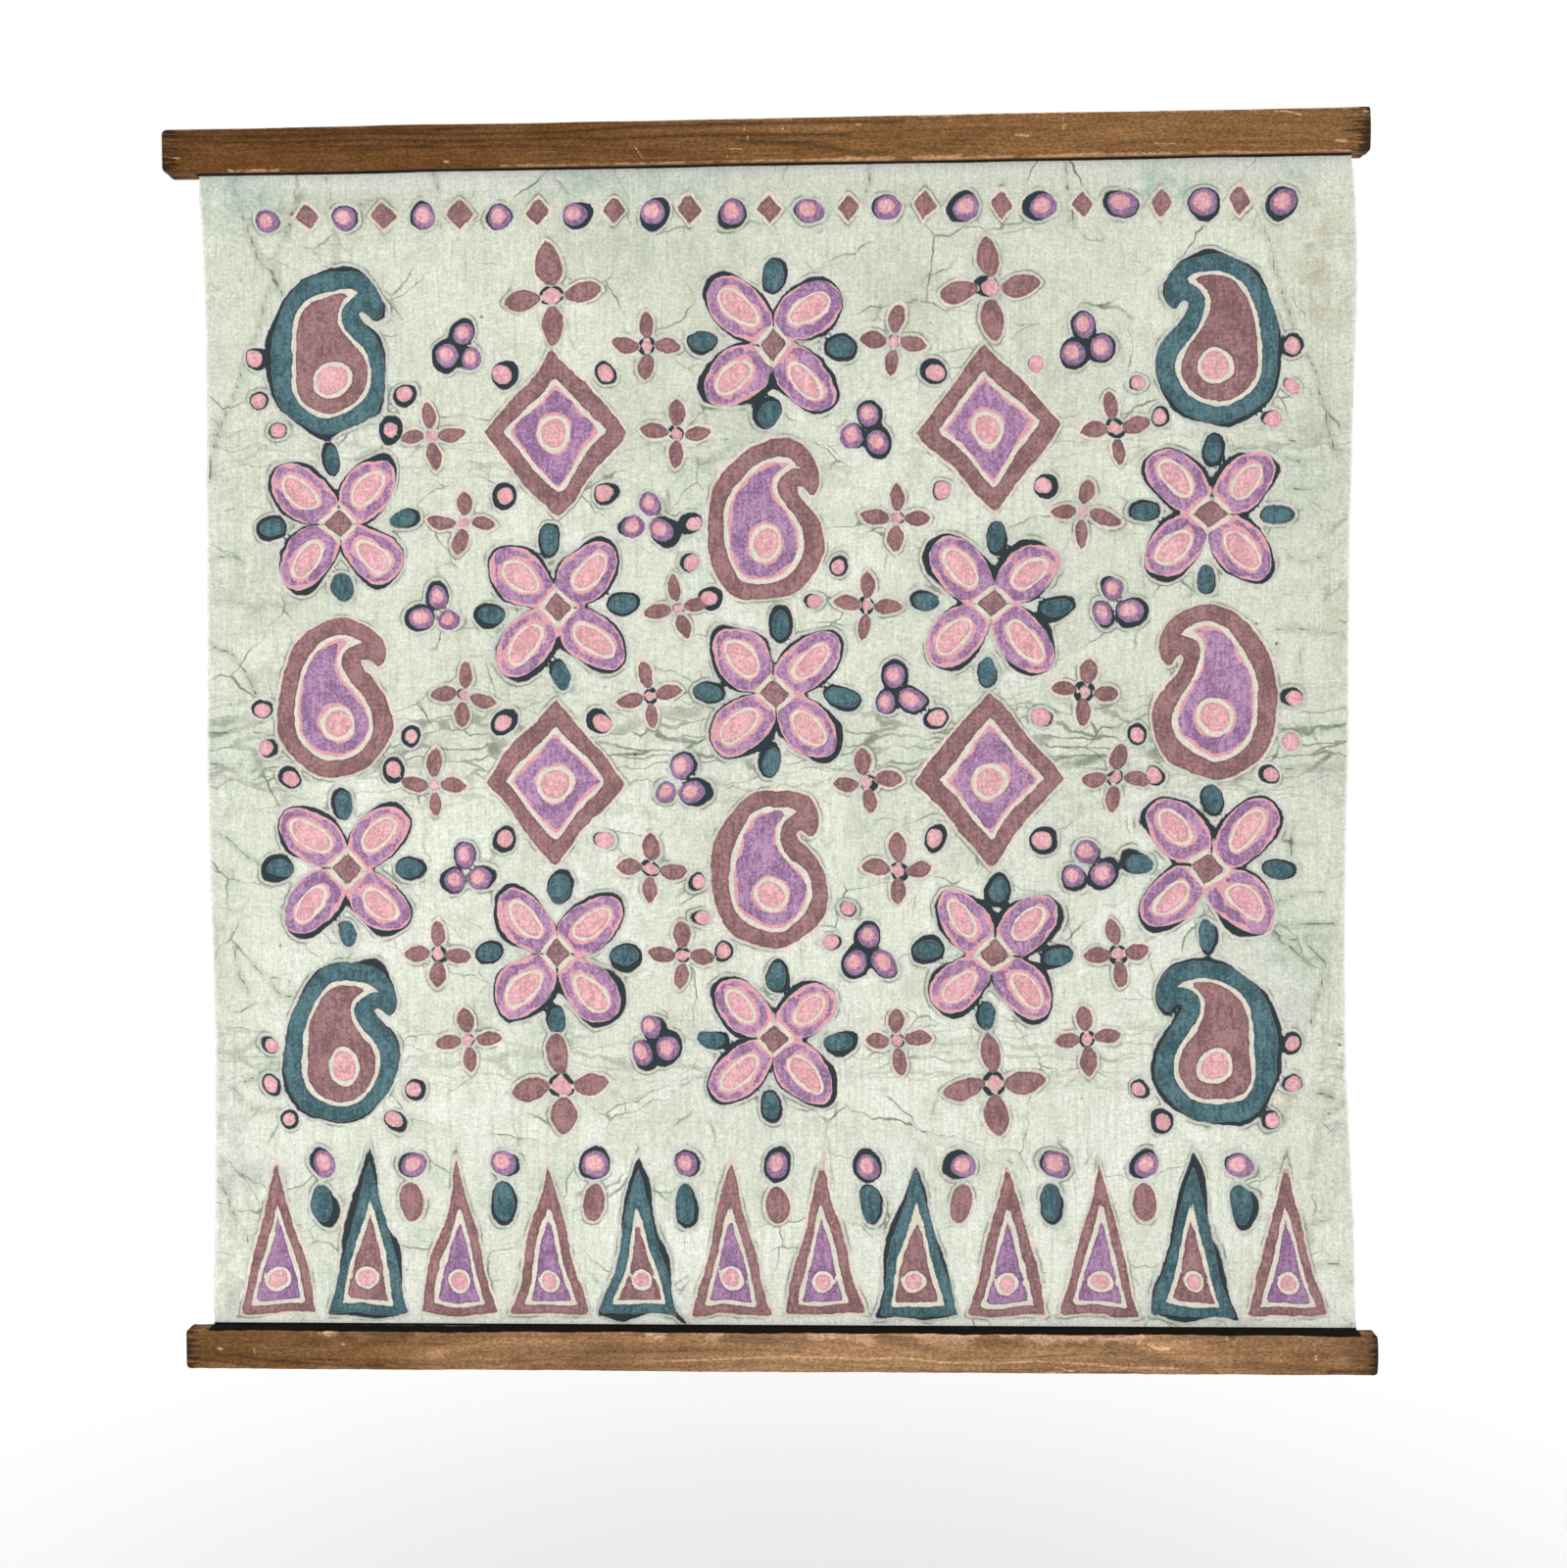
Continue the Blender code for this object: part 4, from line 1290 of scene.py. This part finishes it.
    stripes = add(tree, "Mapping", {"Vector": moved, "Scale": (1 / 14, 1 / 3, 1 / 1.7)})
    stripes = add(tree, "TexNoise", {"Vector": stripes, "Scale": 1.0, "Detail": 3.0, "Roughness": 0.6})
    soak = add(tree, "MapRange", {"Value": stripes, "From Min": 0.36, "From Max": 0.62, "To Min": 0.0, "To Max": 19.0})
    soak = add(tree, "Math", {0: soak, 1: field["from_end"]}, operation="SUBTRACT")
    soak = add(
        tree,
        "MapRange",
        {"Value": soak, "From Min": -2.0, "From Max": 9.0, "To Max": 0.88},
        interpolation_type="SMOOTHSTEP",
    )
    colour = add(tree, "Mix", {"Factor": soak, "A": colour, "B": linear("21160E")}, data_type="RGBA")

    # Painted shade: the faces next to the cloth turn near black, as wide as the cloth.
    colour = add(
        tree,
        "Mix",
        {"Factor": field["clamped"], "A": colour, "B": linear("16120D")},
        data_type="RGBA",
    )

    bump = add(tree, "Bump", {"Height": fibres, "Distance": 0.0003, "Strength": 0.5})
    bump = add(tree, "Bump", {"Height": late_wood, "Distance": 0.0002, "Strength": 0.4, "Normal": bump})
    gloss = add(
        tree,
        "MapRange",
        {"Value": blotch, "From Min": 0.3, "From Max": 0.7, "To Min": 0.48, "To Max": 0.68},
    )
    # The painted shade is made fully rough, so that it shows no sheen.
    gloss = add(tree, "Math", {0: gloss, 1: field["clamped"]}, operation="MAXIMUM")
    tree.links.new(colour.outputs[2], shader.inputs["Base Color"])
    tree.links.new(bump.outputs[0], shader.inputs["Normal"])
    tree.links.new(gloss.outputs[0], shader.inputs["Roughness"])
    shader.inputs["IOR"].default_value = 1.5
    shader.inputs["Specular IOR Level"].default_value = 0.1
    return material


def make_slats():
    """The four slats, named by their place, each standing for its own solid."""
    front = (CLOTH_MIDDLE_Y - SLATS_TO_CLOTH, SLATS_FRONT_Y)
    back = (0.0, CLOTH_MIDDLE_Y + SLATS_TO_CLOTH)
    top = (0.0, TOP_SLAT_FOOT)
    bottom = (BOTTOM_SLAT_OFFSET, BOTTOM_SLAT_FOOT)
    top_stain = ("68431F", "8A643E", "BF9069", (0.0, 0.0, 0.0))
    bottom_stain = ("6D4B28", "A9825F", "CBA182", (90.0, 9.0, 7.0))
    back_stain = ("66472A", "7C5A38", "B08660", (310.0, 50.0, 90.0))
    rows = (
        ("top_slat_front", TOP_SLAT_HEIGHT, top, front, 51, TOP_LOOKS, top_stain),
        ("top_slat_back", BACK_SLAT_HEIGHT, top, back, 61, BACK_LOOKS, back_stain),
        ("bottom_slat_front", BOTTOM_SLAT_HEIGHT, bottom, front, 71, BOTTOM_LOOKS, bottom_stain),
        ("bottom_slat_back", BACK_SLAT_HEIGHT, bottom, back, 81, BACK_LOOKS, back_stain),
    )
    slats = []
    for node, height, (x, foot), (back_y, front_y), seed, looks, stain in rows:
        material = stained_softwood("stained_softwood_" + node, *stain)
        slat = make_slat(node + "_wood", height, x, foot, back_y, front_y, seed, looks, material)
        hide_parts(node)
        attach(slat, "root")
        slats.append(slat)
    return slats


# The camera, the light and the floor.

# The view is a metre back, a little right of the middle and above it, and its lens is moved down,
# so that the hanging stands above the middle of the picture.
CAMERA_PLACE = (0.0462, -1.0580, -0.3642)
CAMERA_TURN = np.radians(1.804)
CAMERA_TILT = np.radians(-1.104)
CAMERA_ROLL = np.radians(0.447)
CAMERA_LENS = 36.0
CAMERA_SHIFT = -0.04

FLOOR_Z = -1.30
FLOOR_RADIUS = 1.5
FLOOR_SOLID_RADIUS = 0.45
WORLD_LIGHT = 0.83


def make_camera():
    """Looks along +Y, then rolls, tilts and turns by the three angles."""
    data = bpy.data.cameras.new("camera")
    data.lens = CAMERA_LENS
    data.sensor_width = 36.0
    data.shift_y = CAMERA_SHIFT
    data.clip_start = 0.01
    camera = bpy.data.objects.new("camera", data)
    upright = Matrix.Rotation(np.pi / 2, 4, "X")
    turned_by = Matrix.Rotation(CAMERA_TURN, 4, "Z") @ Matrix.Rotation(CAMERA_TILT, 4, "X")
    turned_by = turned_by @ Matrix.Rotation(CAMERA_ROLL, 4, "Y")
    camera.matrix_world = Matrix.Translation(CAMERA_PLACE) @ turned_by @ upright
    bpy.context.scene.collection.objects.link(camera)
    bpy.context.scene.camera = camera


def make_light():
    """A white surround, as in a light tent, and two wide soft lamps from the left and the right."""
    world = bpy.data.worlds.new("light_tent")
    bpy.context.scene.world = world
    world.use_nodes = True
    tree = world.node_tree
    background = tree.nodes["Background"]
    seen = add(tree, "LightPath").outputs["Is Camera Ray"]
    strength = add(tree, "MapRange", {"Value": seen, "To Min": WORLD_LIGHT, "To Max": 1.0})
    tree.links.new(strength.outputs[0], background.inputs["Strength"])
    background.inputs["Color"].default_value = (1.0, 1.0, 1.0, 1.0)

    lamps = (
        ("window_lamp", (-1.7, -1.5, -0.8), 14.0, 1.2),
        ("fill_lamp", (1.9, -2.2, 0.1), 6.0, 1.6),
    )
    target = Matrix.Translation((0.0, 0.0, -0.4)).to_translation()
    for name, place, watts, size in lamps:
        data = bpy.data.lights.new(name, "AREA")
        data.shape = "DISK"
        data.size = size
        data.energy = watts
        lamp = bpy.data.objects.new(name, data)
        start = Matrix.Translation(place).to_translation()
        lamp.rotation_euler = (target - start).to_track_quat("-Z", "Y").to_euler()
        lamp.location = start
        bpy.context.scene.collection.objects.link(lamp)


def make_floor():
    """A pale disc under the hanging that fades into the surround: rings of points about z."""
    ring = np.linspace(0.02, FLOOR_RADIUS, 24)[:, None]
    bearing = np.linspace(0.0, 2.0 * np.pi, 96, endpoint=False)[None, :]
    x = ring * np.cos(bearing)
    y = ring * np.sin(bearing)
    points = np.stack((x, y, np.full_like(x, FLOOR_Z)), axis=-1).reshape(-1, 3)
    faces = grid_faces(24, 96, around=True)
    faces.append(list(range(96)))

    material, tree, shader, in_mm = new_material("pale_floor")
    flat = add(tree, "VectorMath", {0: in_mm, 1: (MM, MM, 0.0)}, operation="MULTIPLY")
    reach = add(tree, "VectorMath", {"Vector": flat}, operation="LENGTH").outputs["Value"]
    gone = add(
        tree,
        "MapRange",
        {"Value": reach, "From Min": FLOOR_SOLID_RADIUS, "From Max": FLOOR_RADIUS - 0.1},
        interpolation_type="SMOOTHSTEP",
    )
    shader.inputs["Base Color"].default_value = linear("FBFBFA")
    shader.inputs["Roughness"].default_value = 0.9
    clear = add(tree, "BsdfTransparent")
    blend = add(tree, "MixShader", {0: gone, 1: shader.outputs[0], 2: clear})
    tree.links.new(blend.outputs[0], tree.nodes["Material Output"].inputs["Surface"])
    floor = add_piece("floor", points, faces, material)


def main():
    bpy.context.scene.view_settings.view_transform = "Standard"
    make_camera()
    make_light()
    make_floor()
    slats = make_slats()
    cloth = make_cloth()
    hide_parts("cloth")
    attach(cloth, "root")


main()
